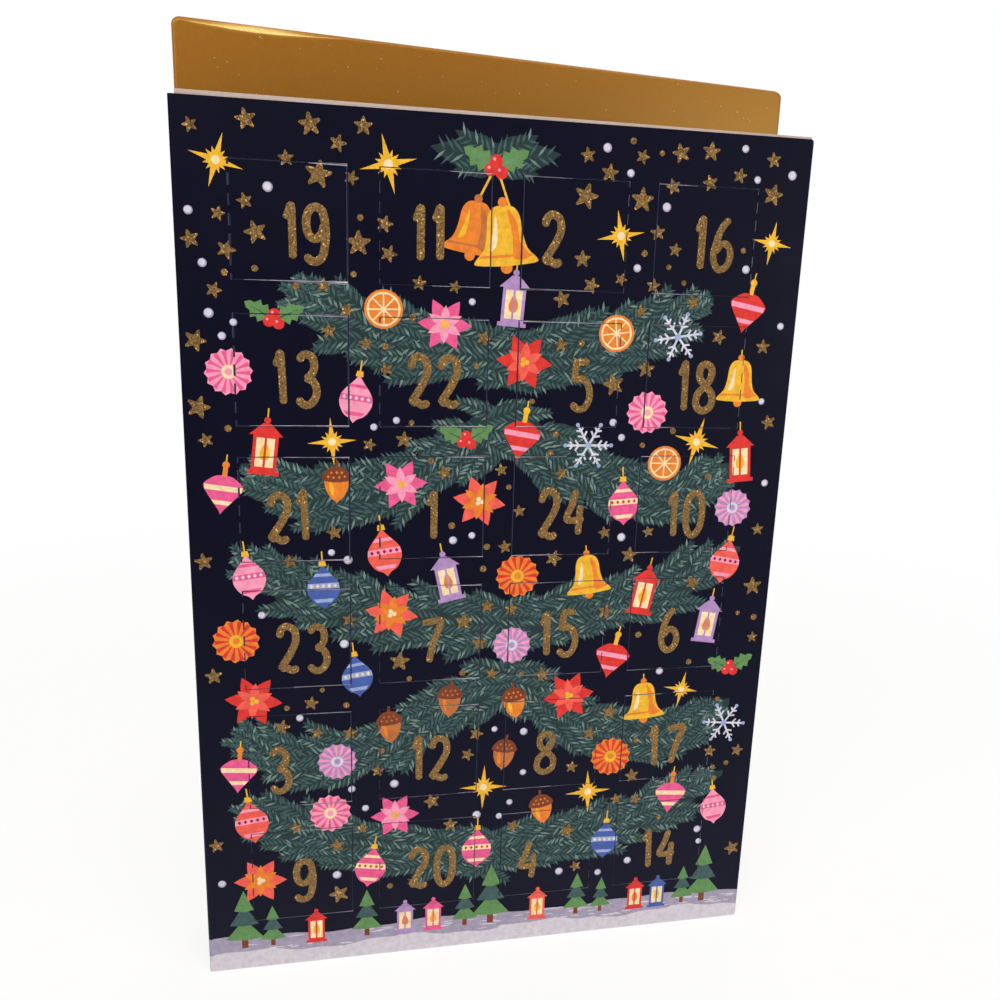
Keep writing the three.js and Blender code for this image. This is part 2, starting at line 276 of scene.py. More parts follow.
def new_group(name, values):
    """A surface group with a colour and plain values to set. Returns it with its inputs and the place on the piece."""
    group = bpy.data.node_groups.new(name, "ShaderNodeTree")
    group.interface.new_socket(name="Colour", in_out="INPUT", socket_type="NodeSocketColor")
    for label, default in values.items():
        socket = group.interface.new_socket(name=label, in_out="INPUT", socket_type="NodeSocketFloat")
        socket.default_value = default
    for label, kind in zip(SURFACE, ("NodeSocketColor", "NodeSocketFloat", "NodeSocketVector")):
        group.interface.new_socket(name=label, in_out="OUTPUT", socket_type=kind)
    return group, node(group, "NodeGroupInput").outputs, node(group, "ShaderNodeTexCoord").outputs["Object"]


def put_out(group, colour, roughness, normal):
    """Ends a surface group."""
    node(group, "NodeGroupOutput", dict(zip(SURFACE, (colour, roughness, normal))))
    return group


def node(tree, kind, links=None, **settings):
    """A node with its settings and its inputs, each a value or another node's output."""
    made = tree.nodes.new(kind)
    for key, value in settings.items():
        setattr(made, key, value)
    for key, value in (links or {}).items():
        socket = made.inputs[key]
        if isinstance(value, bpy.types.NodeSocket):
            tree.links.new(value, socket)
        else:
            socket.default_value = value
    return made


def remap(tree, value, low, high, start=0.0, end=1.0, **settings):
    """A value that runs from start to end, mapped to run from low to high."""
    ends = {"Value": value, "From Min": start, "From Max": end, "To Min": low, "To Max": high}
    return node(tree, "ShaderNodeMapRange", ends, **settings).outputs["Result"]


def vary(tree, source, low, high, spread=0.2):
    """A noise value, which gathers round the middle, mapped to run from low to high."""
    return remap(tree, source, low, high, 0.5 - spread, 0.5 + spread)


def noise(tree, place, scale, detail, **more):
    return node(tree, "ShaderNodeTexNoise", {"Vector": place, "Scale": scale, "Detail": detail, **more}).outputs["Fac"]


def cells_of(tree, place, scale):
    """Cells of one size, and three random values of each."""
    cells = node(tree, "ShaderNodeTexVoronoi", {"Vector": place, "Scale": scale}).outputs
    return cells, node(tree, "ShaderNodeSeparateColor", {"Color": cells["Color"]}).outputs


def maths(tree, operation, *values):
    return node(tree, "ShaderNodeMath", dict(enumerate(values)), operation=operation).outputs[0]


def vector_maths(tree, operation, *values, **more):
    return node(tree, "ShaderNodeVectorMath", {**dict(enumerate(values)), **more}, operation=operation).outputs[0]


def recolour(tree, colour, value, saturation=1.0):
    links = {"Color": colour, "Saturation": saturation, "Value": value}
    return node(tree, "ShaderNodeHueSaturation", links).outputs["Color"]


def bump(tree, height, level, distance, **more):
    links = {"Height": height, "Strength": level, "Distance": distance, **more}
    return node(tree, "ShaderNodeBump", links).outputs["Normal"]


def ink_group():
    """Printed ink on smooth board: a painted colour that clouds a little, and a satin surface."""
    group, given, place = new_group("printed_ink", {"Clouding": 0.1})
    cloud = noise(group, place, 620.0, 5.0, Roughness=0.62)
    low, high = (maths(group, way, 1.0, given["Clouding"]) for way in ("SUBTRACT", "ADD"))
    tinted = recolour(group, given["Colour"], vary(group, cloud, low, high))
    broad = noise(group, place, 90.0, 3.0)
    grain = noise(group, place, 5200.0, 2.0)
    return put_out(group, tinted, vary(group, broad, 0.46, 0.56), bump(group, grain, 0.12, 0.00003))


def fibre_group():
    """Bare board and paper: short fibres in the colour and the surface."""
    group, given, place = new_group("paper_fibre", {"Depth": 0.3})
    fibre = noise(group, place, 2600.0, 4.0, Distortion=1.4)
    tinted = recolour(group, given["Colour"], vary(group, fibre, 0.93, 1.03))
    return put_out(group, tinted, vary(group, fibre, 0.78, 0.92), bump(group, fibre, given["Depth"], 0.00004))


def flake_group():
    """Glitter: flakes of one size, each with its own shade and tilt, and a few painted glints: flakes whose colour is
    made several times brighter, whatever the light.
    """
    group, given, place = new_group("glitter_flakes", {"Flakes": 4200.0, "Tilt": 1.0, "Ground": 0.5, "Sparkle": 0.05})
    cells, shades = cells_of(group, place, given["Flakes"])
    # Painted glints: the few flakes above the limit get their colour brightened by 2.6 more, whatever the light.
    limit = maths(group, "SUBTRACT", 1.0, given["Sparkle"])
    spark = maths(group, "GREATER_THAN", shades["Red"], limit)
    shade = remap(group, shades["Green"], given["Ground"], 1.35)
    tinted = recolour(group, given["Colour"], maths(group, "MULTIPLY_ADD", spark, 2.6, shade))
    lean = vector_maths(group, "SUBTRACT", cells["Color"], (0.5, 0.5, 0.5))
    scaled = vector_maths(group, "SCALE", lean, Scale=given["Tilt"])
    facing = node(group, "ShaderNodeNewGeometry").outputs["Normal"]
    normal = vector_maths(group, "NORMALIZE", vector_maths(group, "ADD", facing, scaled))
    return put_out(group, tinted, remap(group, shades["Blue"], 0.22, 0.5), normal)


def pearl_group():
    """Gold paper: a fine pearly grain with a few painted glints, pale bright specks put into the colour whatever the
    light, and slow waves in the sheet.
    """
    group, given, place = new_group("pearly_paper", {"Flake light": 0.5})
    grain = noise(group, place, 1500.0, 4.0, Roughness=0.7)
    cells, shades = cells_of(group, place, 1900.0)
    # Painted glints: a few small specks are made brighter and paler in the colour itself, whatever the light.
    painted_glint = maths(group, "GREATER_THAN", shades["Red"], 0.99)
    near = maths(group, "LESS_THAN", cells["Distance"], 0.34)
    spot = maths(group, "MULTIPLY", painted_glint, near)
    bright = maths(group, "MULTIPLY_ADD", spot, given["Flake light"], vary(group, grain, 0.9, 1.08, 0.25))
    paled = maths(group, "MULTIPLY_ADD", spot, -0.35, 1.0)
    slow = bump(group, noise(group, place, 14.0, 2.0), 0.35, 0.0012)
    fine = bump(group, grain, 0.25, 0.00003, Normal=slow)
    return put_out(group, recolour(group, given["Colour"], bright, paled), vary(group, grain, 0.3, 0.42), fine)


def cut_group():
    """A punched edge: the pale core of the board shows in places, and the ink dulls it in others."""
    group, given, place = new_group("punched_edge", {"Dull": 0.25, "Bright": 1.3})
    long = noise(group, place, 75.0, 3.0)
    short = noise(group, place, 800.0, 2.0)
    worn_level = remap(group, long, given["Dull"], given["Bright"], 0.36, 0.66)
    flecked = maths(group, "MULTIPLY", worn_level, vary(group, short, 0.7, 1.15))
    tinted = recolour(group, given["Colour"], flecked)
    return put_out(group, tinted, vary(group, short, 0.75, 0.95), bump(group, short, 0.3, 0.00003))


GROUP_MAKERS = {
    "printed_ink": ink_group,
    "paper_fibre": fibre_group,
    "glitter_flakes": flake_group,
    "pearly_paper": pearl_group,
    "punched_edge": cut_group,
}


def finish_material(name, group_name, colour, values, metallic=0.0, specular=0.5, tint=(1, 1, 1)):
    """A material whose surface comes from one shared group, with its own colour and plain constants."""
    found = bpy.data.materials.get(name)
    if found:
        return found
    made = bpy.data.materials.new(name)
    made.use_nodes = True
    made.diffuse_color = (*colour, 1)
    tree = made.node_tree
    group = tree.nodes.new("ShaderNodeGroup")
    group.node_tree = bpy.data.node_groups.get(group_name) or GROUP_MAKERS[group_name]()
    for key, value in {"Colour": (*colour, 1), **values}.items():
        group.inputs[key].default_value = value
    shader = tree.nodes["Principled BSDF"].inputs
    for output, socket in SURFACE.items():
        tree.links.new(group.outputs[output], shader[socket])
    shader["Metallic"].default_value = metallic
    shader["Specular IOR Level"].default_value = specular
    shader["Specular Tint"].default_value = (*tint, 1)
    return made


PLAIN_CLOUDING = 0.17
INK_CLOUDING = {
    "night": 0.06, "snow_light": 0.12, "snow_shade": 0.16, "fir_dark": 0.2, "fir_mid": 0.22, "fir_light": 0.2,
}


def print_material(name, colours):
    """The material of one ink, of glitter or of bare board, by its name among the print colours."""
    colour = getattr(colours, name)
    if name == "glitter":
        values = {"Flakes": 3400.0, "Tilt": 0.9, "Ground": 0.5, "Sparkle": 0.025}
        return finish_material("glitter", "glitter_flakes", colour, values, metallic=0.35, specular=0.35)
    if name == "cut_edge":
        return finish_material("punched_edge", "punched_edge", colour, {}, specular=0.1)
    if name == "board":
        return finish_material("bare_board", "paper_fibre", colour, {"Depth": 0.3}, specular=0.15)
    values = {"Clouding": INK_CLOUDING.get(name, PLAIN_CLOUDING)}
    return finish_material(f"print_{name}", "printed_ink", colour, values, specular=0.16)


# Flat shapes, as lists of places in millimetres

def turned(points, centre, angle):
    c, s = math.cos(angle), math.sin(angle)
    return [(centre[0] + c * x - s * y, centre[1] + s * x + c * y) for x, y in points]


def polar(radius, turn):
    return radius * math.cos(turn), radius * math.sin(turn)


def spokes(count, shift=0.0):
    """Directions evenly round a circle, shifted by a share of their pitch."""
    return [math.tau * (i + shift) / count for i in range(count)]


def ellipse(centre, wide, high, angle, steps):
    return turned([(wide * math.cos(t), high * math.sin(t)) for t in spokes(steps)], centre, angle)


def disc(centre, radius, steps):
    return ellipse(centre, radius, radius, 0.0, steps)


def star(centre, outer, inner, arms, angle=0.0, blunt=0.0):
    """A star whose tips are cut to a small width where blunt is set."""
    ring = []
    for i in range(2 * arms):
        turn = math.pi / 2 + math.pi * i / arms
        if i % 2:
            ring.append(polar(inner, turn))
            continue
        for side in (-1, 0, 1) if blunt else (0,):
            ring.append(polar(outer * (1 - 0.06 * abs(side)), turn + blunt * side))
    return turned(ring, centre, angle)


NEEDLE_WIDTH = 0.62


def needle(base, angle, length):
    belly = length * 0.45
    return turned([(0, 0), (belly, -NEEDLE_WIDTH / 2), (length, 0), (belly, NEEDLE_WIDTH / 2)], base, angle)


def leaf(base, angle, length, width, steps=5):
    """A pointed oval petal or leaf with round sides."""
    side = [(length * i / steps, width / 2 * math.sin(math.pi * (i / steps) ** 0.8)) for i in range(1, steps)]
    shape = [(0, 0)] + [(x, -y) for x, y in side] + [(length, 0)] + [(x, y) for x, y in reversed(side)]
    return turned(shape, base, angle)


def smooth(points, steps=3, closed=True):
    """A rounded line through the given points."""
    count = len(points)
    line = []
    for i in range(count if closed else count - 1):
        near = [i + k for k in (-1, 0, 1, 2)]
        a, b, c, d = (points[k % count if closed else min(max(k, 0), count - 1)] for k in near)
        for j in range(steps):
            t = j / steps
            line.append(tuple(
                0.5 * (2 * b[k] + (c[k] - a[k]) * t + (2 * a[k] - 5 * b[k] + 4 * c[k] - d[k]) * t * t
                       + (3 * b[k] - a[k] - 3 * c[k] + d[k]) * t ** 3)
                for k in (0, 1)
            ))
    if not closed:
        line.append(points[-1])
    return line


def mirrored(*half):
    """A rounded outline from its right half, which runs from the top to the bottom on the middle line."""
    half = smooth(half, closed=False)
    return half + [(-x, y) for x, y in reversed(half) if abs(x) > 1e-6]


def rectangle(left, right, bottom, top):
    return [(left, bottom), (right, bottom), (right, top), (left, top)]


def band(half, height, other_half, other_height):
    """A strip across the middle line, from half its width at one height to that at another."""
    return [(-half, height), (half, height), (other_half, other_height), (-other_half, other_height)]


def diamond(x, y, wide, high):
    return [(x - wide, y), (x, y - high), (x + wide, y), (x, y + high)]


def bar(a, b, width):
    """A straight strip between two places."""
    along = Vector(b) - Vector(a)
    side = Vector((-along.y, along.x)).normalized() * (width / 2)
    return [tuple(Vector(a) - side), tuple(Vector(b) - side), tuple(Vector(b) + side), tuple(Vector(a) + side)]


def wound(points):
    """The same outline, running anticlockwise."""
    twice_area = sum(a[0] * b[1] - b[0] * a[1] for a, b in zip(points, points[1:] + points[:1]))
    return points if twice_area > 0 else points[::-1]


def running_lengths(line):
    """How far along a line each of its places lies."""
    lengths = [0.0]
    for a, b in zip(line, line[1:]):
        lengths.append(lengths[-1] + math.dist(a, b))
    return lengths


def stretch_at(lengths, along):
    """The number of the stretch of a line that holds a place so far along it."""
    return min(max(i for i, reached in enumerate(lengths) if reached <= along), len(lengths) - 2)


class Artwork:
    """Shapes of a print in the order they are laid down, each with its ink."""

    def __init__(self):
        self.shapes = []

    def lay(self, name, points):
        self.shapes.append((name, wound([tuple(p) for p in points])))

    def pen(self, centre, scale, angle=0.0):
        """A function that lays shapes drawn about nought at this place, scale and angle."""
        def lay(name, points):
            self.lay(name, turned([(x * scale, y * scale) for x, y in points], centre, angle))
        return lay


# Ornaments, each drawn one unit high about its middle and hung by its top

def draw_bell(lay, body, shade, light):
    lay("orange", disc((0, -0.42), 0.09, 10))
    lay(body, mirrored(
        (0, 0.46), (0.15, 0.43), (0.24, 0.3), (0.27, 0.05), (0.33, -0.16), (0.46, -0.3), (0.44, -0.37), (0, -0.4)
    ))
    lay(shade, smooth([(0.06, 0.4), (0.2, 0.2), (0.22, -0.05), (0.36, -0.28), (0.12, -0.3), (0.12, 0.0)]))
    lay(light, smooth([(-0.12, 0.32), (-0.17, 0.08), (-0.24, -0.16), (-0.14, -0.12), (-0.1, 0.1)]))
    lay(shade, band(0.38, -0.235, 0.41, -0.275))
    lay(shade, disc((0, 0.5), 0.07, 10))


def draw_drop(lay, body, stripe, light):
    lay(body, mirrored((0, 0.4), (0.08, 0.28), (0.26, 0.06), (0.3, -0.14), (0.2, -0.34), (0.07, -0.42), (0, -0.5)))
    lay(stripe, band(0.285, 0.02, 0.3, -0.09))
    for i in range(5):
        lay(light, diamond(-0.22 + 0.11 * i, -0.035, 0.035, 0.04))
    lay(stripe, band(0.13, 0.215, 0.18, 0.155))
    lay(stripe, band(0.19, -0.29, 0.14, -0.36))
    lay("yellow", band(0.055, 0.46, 0.07, 0.36))


def draw_lantern(lay, metal, glass, glow):
    lay(metal, band(0.2, -0.42, 0.2, 0.2))
    lay(glass, band(0.145, -0.34, 0.145, 0.14))
    lay(glow, smooth([(0, 0.06), (-0.08, -0.1), (-0.05, -0.22), (0.05, -0.22), (0.08, -0.1)]))
    lay(metal, band(0.018, -0.36, 0.018, 0.16))
    lay(metal, band(0.27, 0.18, 0.06, 0.38))
    lay(metal, band(0.25, -0.47, 0.25, -0.4))
    lay(metal, disc((0, 0.43), 0.055, 10))


def draw_rosette(lay, rim, pleat, heart):
    folds = 14
    lay(rim, star((0, 0), 0.5, 0.44, folds))
    for start, end in zip(spokes(folds), spokes(folds, 0.5)):
        lay(pleat, [polar(0.08, start), polar(0.45, start), polar(0.45, end)])
    lay(heart, disc((0, 0), 0.15, 12))
    lay(rim, disc((0, 0), 0.08, 8))


def draw_slice(lay, peel, pith, flesh):
    lay(peel, disc((0, 0), 0.46, 22))
    lay(pith, disc((0, 0), 0.4, 22))
    for turn in spokes(8, 0.5):
        lay(flesh, turned([(0.05, 0), (0.33, -0.12), (0.36, 0), (0.33, 0.12)], (0, 0), turn))


def draw_flower(lay, outer, inner, heart):
    for turn in spokes(6):
        lay(outer, leaf((0, 0), turn, 0.52, 0.27))
    for turn in spokes(6, 0.5):
        lay(inner, leaf((0, 0), turn, 0.36, 0.17, 4))
    for turn in spokes(3):
        lay(heart, disc(polar(0.05, turn), 0.045, 7))


def draw_holly(lay, green, vein, berry):
    for turn in (0.5, 2.64):
        edge = [(0.56 * i / 8, 0.15 * math.sin(math.pi * i / 8) * (1.25 if i % 2 else 0.7)) for i in range(9)]
        shape = [(x, -y) for x, y in edge] + edge[-2:0:-1]
        lay(green, turned(shape, (0, -0.05), turn))
        lay(vein, turned([(0.06, -0.012), (0.48, 0), (0.06, 0.012)], (0, -0.05), turn))
    for x, y in ((-0.08, -0.02), (0.08, -0.05), (0.0, 0.1)):
        lay(berry, disc((x, y - 0.05), 0.1, 10))
        lay("pale_pink", disc((x - 0.03, y - 0.02), 0.025, 5))


def draw_flake(lay, line, dot):
    for turn in spokes(6):
        lay(line, turned([(0, -0.022), (0.48, -0.022), (0.48, 0.022), (0, 0.022)], (0, 0), turn))
        for along, reach in ((0.2, 0.13), (0.33, 0.1)):
            for side in (-1, 1):
                tip = (along + reach * 0.6, side * reach * 0.8)
                lay(line, turned(bar((along, 0), tip, 0.038), (0, 0), turn))
        lay(dot, turned(disc((0.48, 0), 0.045, 7), (0, 0), turn))
    lay(dot, disc((0, 0), 0.07, 8))


def draw_acorn(lay, nut, cap, light):
    lay(nut, mirrored((0, 0.12), (0.24, 0.1), (0.25, -0.1), (0.15, -0.32), (0.03, -0.42), (0, -0.48)))
    lay(light, smooth([(-0.14, 0.04), (-0.16, -0.14), (-0.08, -0.3), (-0.07, -0.1)]))
    lay(cap, mirrored((0, 0.38), (0.17, 0.33), (0.3, 0.17), (0.3, 0.07), (0.15, 0.02), (0, 0.01)))
    for x, y in ((-0.18, 0.14), (-0.06, 0.12), (0.06, 0.12), (0.18, 0.14), (-0.11, 0.23), (0.01, 0.23), (0.12, 0.23)):
        lay(nut, diamond(x, y, 0.03, 0.035))
    lay(cap, bar((0, 0.34), (0.03, 0.5), 0.06))


def draw_top(lay, body, stripe, tip):
    lay(body, mirrored((0, 0.26), (0.16, 0.24), (0.34, 0.1), (0.36, 0.0), (0.22, -0.2), (0.06, -0.4), (0, -0.5)))
    lay(stripe, band(0.35, 0.06, 0.34, -0.04))
    lay(stripe, band(0.19, -0.23, 0.13, -0.31))
    lay(tip, bar((0, 0.24), (0, 0.48), 0.09))
    lay(tip, disc((0, 0.47), 0.07, 9))


def draw_spark(lay, ray, heart):
    """A spark of twelve rays, every third one long."""
    for i, turn in enumerate(spokes(12)):
        reach = 0.24 if i % 3 else 0.5
        lay(ray, turned([(0, -0.075), (reach, 0), (0, 0.075)], (0, 0), turn))
    lay(heart, disc((0, 0), 0.08, 10))


HUNG = (draw_drop, draw_bell, draw_lantern, draw_top)

# How each ornament is drawn, its height in millimetres and its inks
ORNAMENTS = (
    (draw_drop, 13.0, ("pink", "cream", "red")),
    (draw_flower, 13.0, ("red", "coral", "yellow")),
    (draw_lantern, 14.0, ("red", "cream", "yellow")),
    (draw_rosette, 10.5, ("pale_pink", "pink", "cream")),
    (draw_bell, 12.0, ("yellow", "orange", "cream")),
    (draw_slice, 9.5, ("orange", "cream", "orange")),
    (draw_drop, 13.5, ("coral", "pale_pink", "dark_red")),
    (draw_acorn, 10.5, ("tan", "brown", "orange")),
    (draw_holly, 13.0, ("leaf_green", "fir_dark", "red")),
    (draw_top, 12.5, ("red", "pale_pink", "yellow")),
    (draw_flower, 12.0, ("pink", "pale_pink", "yellow")),
    (draw_drop, 12.5, ("blue", "pale_blue", "cream")),
    (draw_rosette, 11.0, ("orange", "red", "yellow")),
    (draw_lantern, 13.5, ("lilac", "cream", "orange")),
    (draw_flake, 12.0, ("white", "pale_blue")),
    (draw_drop, 12.5, ("pale_pink", "pink", "white")),
    (draw_top, 12.0, ("pink", "cream", "orange")),
    (draw_acorn, 10.5, ("orange", "brown", "yellow")),
    (draw_flower, 12.5, ("coral", "orange", "cream")),
    (draw_rosette, 10.0, ("lilac", "pale_pink", "white")),
)


# The front print

def numeral_boxes(sizes):
    """Middle and half sizes of every numeral, so that nothing is printed under one."""
    return [(x, z, numeral_width(number, sizes) / 2, sizes.numeral_height / MM / 2) for number, x, z in NUMERALS]


def figure_width(figure, sizes):
    return (sizes.narrow_width if figure == NARROW_FIGURE else sizes.figure_width) / MM


def numeral_width(number, sizes):
    widths = [figure_width(int(figure), sizes) for figure in str(number)]
    return sum(widths) + (len(widths) - 1) * sizes.figure_gap / MM


def clear_of(x, z, radius, boxes, rounds):
    """Whether a round spot touches no numeral's box and nothing round that is already laid."""
    for bx, bz, wide, high in boxes:
        dx, dz = max(abs(x - bx) - wide, 0), max(abs(z - bz) - high, 0)
        if math.hypot(dx, dz) < radius:
            return False
    return all(math.hypot(x - rx, z - rz) >= radius + rr for rx, rz, rr in rounds)


def near_line(x, z, lines, reach):
    return any(math.hypot(x - px, z - pz) < reach for line in lines for px, pz in line)


# Places that each garland runs through, from the top of the card to its foot
GARLANDS = (
    ((22, 172), (45, 162), (72.5, 158), (100, 162), (123, 172)),
    ((12, 132), (26, 125), (46, 127), (72.5, 140), (99, 127), (119, 125), (133, 132)),
    ((9, 110), (38, 97), (72.5, 92), (107, 97), (136, 110)),
    ((8, 67), (23, 59), (44, 61), (72.5, 75), (101, 61), (122, 59), (137, 67)),
    ((8, 46), (38, 33), (72.5, 28), (107, 33), (137, 46)),
)
TWIG_PITCH = 3.1
NEEDLE_PAIRS = 7


def lay_twig(art, rng, base, angle, length):
    """A dark leaf with pairs of pale needles that shorten towards its tip."""
    art.lay("fir_dark", leaf(base, angle, length, length * 0.42, 4))
    for i in range(NEEDLE_PAIRS):
        t = 0.06 + 0.86 * i / NEEDLE_PAIRS
        foot = (base[0] + length * t * math.cos(angle), base[1] + length * t * math.sin(angle))
        for side in (-1, 1):
            turn = angle + side * math.radians(rng.uniform(38, 52))
            reach = length * (0.34 - 0.16 * t) * rng.uniform(0.85, 1.15)
            name = "fir_light" if rng.random() < 0.26 else "fir_mid"
            art.lay(name, needle(foot, turn, reach))


def lay_garland(art, rng, knots, thickness):
    """A dark garland and its twigs, laid from both ends to the middle. Returns its middle line."""
    line = smooth(knots, 14, False)
    lengths = running_lengths(line)
    whole = lengths[-1]
    upper, lower = [], []
    for (x, z), along in zip(line, lengths):
        taper = min(1.0, (min(along, whole - along) + 1.0) / 16) ** 0.7
        swell = taper * thickness / 2 * (0.72 + 0.12 * math.sin(along * 0.55) + 0.06 * math.sin(along * 1.31))
        upper.append((x, z + swell))
        lower.append((x, z - swell))
    art.lay("fir_dark", lower + upper[::-1])
    for i in sorted(range(int(whole / TWIG_PITCH)), key=lambda i: -abs((i + 0.5) * TWIG_PITCH - whole / 2)):
        along = (i + 0.5) * TWIG_PITCH
        k = stretch_at(lengths, along)
        a, b = line[k], line[k + 1]
        outward = 1 if along > whole / 2 else -1
        heading = math.atan2((b[1] - a[1]) * outward, (b[0] - a[0]) * outward)
        taper = min(1.0, min(along, whole - along) / 14)
        for side in ((1, -1, 0) if i % 2 else (-1, 1, 0)):
            offset = taper * (side * thickness * rng.uniform(0.12, 0.3) + (1 - abs(side)) * rng.uniform(-1.5, 1.5))
            base = (a[0] - math.cos(heading) * 4.5 + rng.uniform(-1, 1), a[1] - math.sin(heading) * 4.5 + offset)
            lean = side * outward * math.radians(rng.uniform(10, 36))
            lay_twig(art, rng, base, heading + lean, rng.uniform(8.5, 12.0) * (0.6 + 0.4 * taper))
    return line


# Middle and radius of the rounds that keep other ornaments off the bells and their sprigs
BELL_ROUNDS = ((64, 186, 6.5), (71.4, 184, 7.5), (64, 201, 6), (56, 201, 5), (75, 201, 6), (82, 201, 4))


def lay_bells(art, rng, rounds):
    """A pair of large bells under crossed sprigs at the top of the card."""
    rounds.extend(BELL_ROUNDS)
    for side in (-1, 1):
        for spread, length in ((0.15, 17), (0.5, 13), (-0.18, 12)):
            lay_twig(art, rng, (69.0 - side * 2, 200.5), math.pi / 2 - side * (math.pi / 2 - spread), length)
        art.lay("yellow", bar((69.0, 200), (68.4 + side * 4.0, 191), 0.5))
    draw_bell(art.pen((64.2, 186.0), 13.5, -0.14), "orange", "tan", "yellow")
    draw_bell(art.pen((71.4, 184.5), 15.5, 0.1), "yellow", "orange", "cream")
    draw_holly(art.pen((69.0, 200.0), 15), "leaf_green", "fir_light", "red")


def snow_levels(x, height):
    """How high the lit and the shaded snow reach above a place of the foot."""
    lit = height * 0.5 + 0.7 * math.sin(x * 0.16) + 0.3 * math.sin(x * 0.5)
    return lit, height + 0.55 * math.sin(x * 0.11 + 1.0) + 0.25 * math.sin(x * 0.37)


SNOW_STREAKS = 90


def lay_snow(art, rng, height):
    """Lit snow in front of shaded snow along the foot, with short pale streaks."""
    for level, name in ((1, "snow_shade"), (0, "snow_light")):
        top = [(x, snow_levels(x, height)[level]) for x in range(-2, 149, 3)]
        art.lay(name, [(-2, -2), (148, -2)] + top[::-1])
    for _ in range(SNOW_STREAKS):
        x, z = rng.uniform(2, 143), rng.uniform(height * 0.45, height - 0.6)
        streak = (rng.uniform(0.8, 2.4), rng.uniform(0.12, 0.25), rng.uniform(-0.1, 0.1))
        art.lay("snow_light", ellipse((x, z), *streak, 6))


def lay_small_fir(art, x, foot, height):
    art.lay("brown", bar((x, foot - 0.5), (x, foot + height * 0.2), height * 0.1))
    for i in range(3):
        low = foot + height * (0.14 + 0.26 * i)
        half = height * (0.3 - 0.075 * i)
        tier = [(x - half, low), (x, low - height * 0.03), (x + half, low), (x, low + height * 0.36)]
        art.lay("fir_mid" if i % 2 else "leaf_green", tier)


FIR_FOOT = 6.5
FOOT_FIRS = ((9, 16), (16, 11), (40, 13), (66, 12), (73, 17), (97, 12), (104, 10), (134, 17), (128, 11))
FOOT_LANTERN = 10.5
FOOT_LANTERNS = (
    (27, "red", "cream", "yellow"), (50, "lilac", "cream", "orange"), (57.5, "pink", "cream", "yellow"),
    (86, "coral", "cream", "yellow"), (114, "red", "cream", "orange"), (120.5, "blue", "cream", "yellow"),
)


def lay_foot_row(art, rounds):
    """Small firs and lanterns that stand in the snow."""
    for x, height in FOOT_FIRS:
        lay_small_fir(art, x, FIR_FOOT, height)
        rounds.append((x, FIR_FOOT + height / 2, height * 0.38))
    for x, *inks in FOOT_LANTERNS:
        draw_lantern(art.pen((x, FOOT_LANTERN), FOOT_LANTERN), *inks)
        rounds.append((x, FOOT_LANTERN, 4.5))


def worn(x, z):
    """How plainly a cut shows at a place of the card: most at the upper left, least at the lower right."""
    return (1.15 - 0.8 * x / CARD_WIDTH) * min(0.3 + 1.1 * z / CARD_HEIGHT, 1.0)


def lay_wear(art, rng, sizes):
    """Bare fibres along the cuts, widest at a door's free corners and faint towards the right, and the dull
    pressed dashes of its hinge line."""
    fine, dash = sizes.worn_line / MM, sizes.pressed_line / MM
    for door in door_frames(sizes):
        hinge, free, bottom, top = door.hinge, door.free, door.bottom, door.top
        art.lay("score", bar((free, bottom), (free, top), fine * 3 * worn(free, top)))
        for z in (top, bottom):
            fade = worn(free, z)
            start = free - (free - hinge) * rng.uniform(0.3, 0.95) * min(fade + 0.15, 1)
            art.lay("score", bar((hinge, z), (start, z), fine * 1.2 * fade))
            wide = fine * rng.uniform(1.2, 2.4) * fade
            if fade > 0.3:
                art.lay("cut_edge", [(start, z - fine / 2), (free, z - wide), (free, z + wide), (start, z + fine / 2)])
        pitch = (top - bottom) / sizes.ties
        for k in range(sizes.ties + 1):
            middle = bottom + k * pitch
            low, high = max(middle - pitch * 0.3, bottom), min(middle + pitch * 0.3, top)
            art.lay("score", bar((hinge, low), (hinge, high), dash * worn(hinge, middle) * rng.uniform(0.6, 0.95)))


SPARKS = 9
# Tries, most of a kind, and least gap to what lies round it, of the small things scattered over the sky
SCATTERED = {"star": (2600, 150, 1.9), "dot": (1500, 46, 1.6), "snow": (1500, 60, 1.8)}
SCATTERED_RADII = {"star": (1.5, 3.0), "dot": (0.6, 0.85), "snow": (0.8, 1.15)}
LARGEST_ON_FIR = 2.2


def lay_ornaments(art, rng, lines, boxes, rounds, thickness):
    """Ornaments wherever there is room for one, closer together on the garlands."""
    spots = []
    for _ in range(9000):
        x, z = rng.uniform(8, 137), rng.uniform(22, 172)
        gap = 13.2 if near_line(x, z, lines, thickness * 0.62) else 15.5
        if all(math.dist((x, z), other) >= gap for other in spots) and clear_of(x, z, 5.4, boxes, rounds):
            spots.append((x, z))
    for i, (x, z) in enumerate(spots):
        draw, scale, inks = ORNAMENTS[(i * 7) % len(ORNAMENTS)]
        lay = art.pen((x, z), scale, rng.uniform(-0.22, 0.22))
        if draw in HUNG:
            lay("yellow", bar((0, 0.4), (0, 0.4 + 3.2 / scale), 0.32 / scale))
        draw(lay, *inks)
        rounds.append((x, z, scale * 0.42))


def lay_sparks(art, rng, lines, boxes, rounds, thickness):
    """A few large sparks in the open sky."""
    sparks = []
    for _ in range(4000):
        spot = x, z = rng.uniform(7, 138), rng.uniform(30, 203)
        if len(sparks) == SPARKS or not clear_of(x, z, 5.2, boxes, rounds) or near_line(x, z, lines, thickness * 0.7):
            continue
        if all(math.dist(spot, other) > 26 for other in sparks):
            sparks.append(spot)
            draw_spark(art.pen(spot, rng.uniform(9, 13), rng.uniform(-0.3, 0.3)), "yellow", "cream")
            rounds.append((x, z, 4.6))


def lay_star(art, rng, x, z, radius):
    art.lay("glitter", star((x, z), radius, radius * 0.48, 5, rng.uniform(-0.4, 0.4), 0.11))


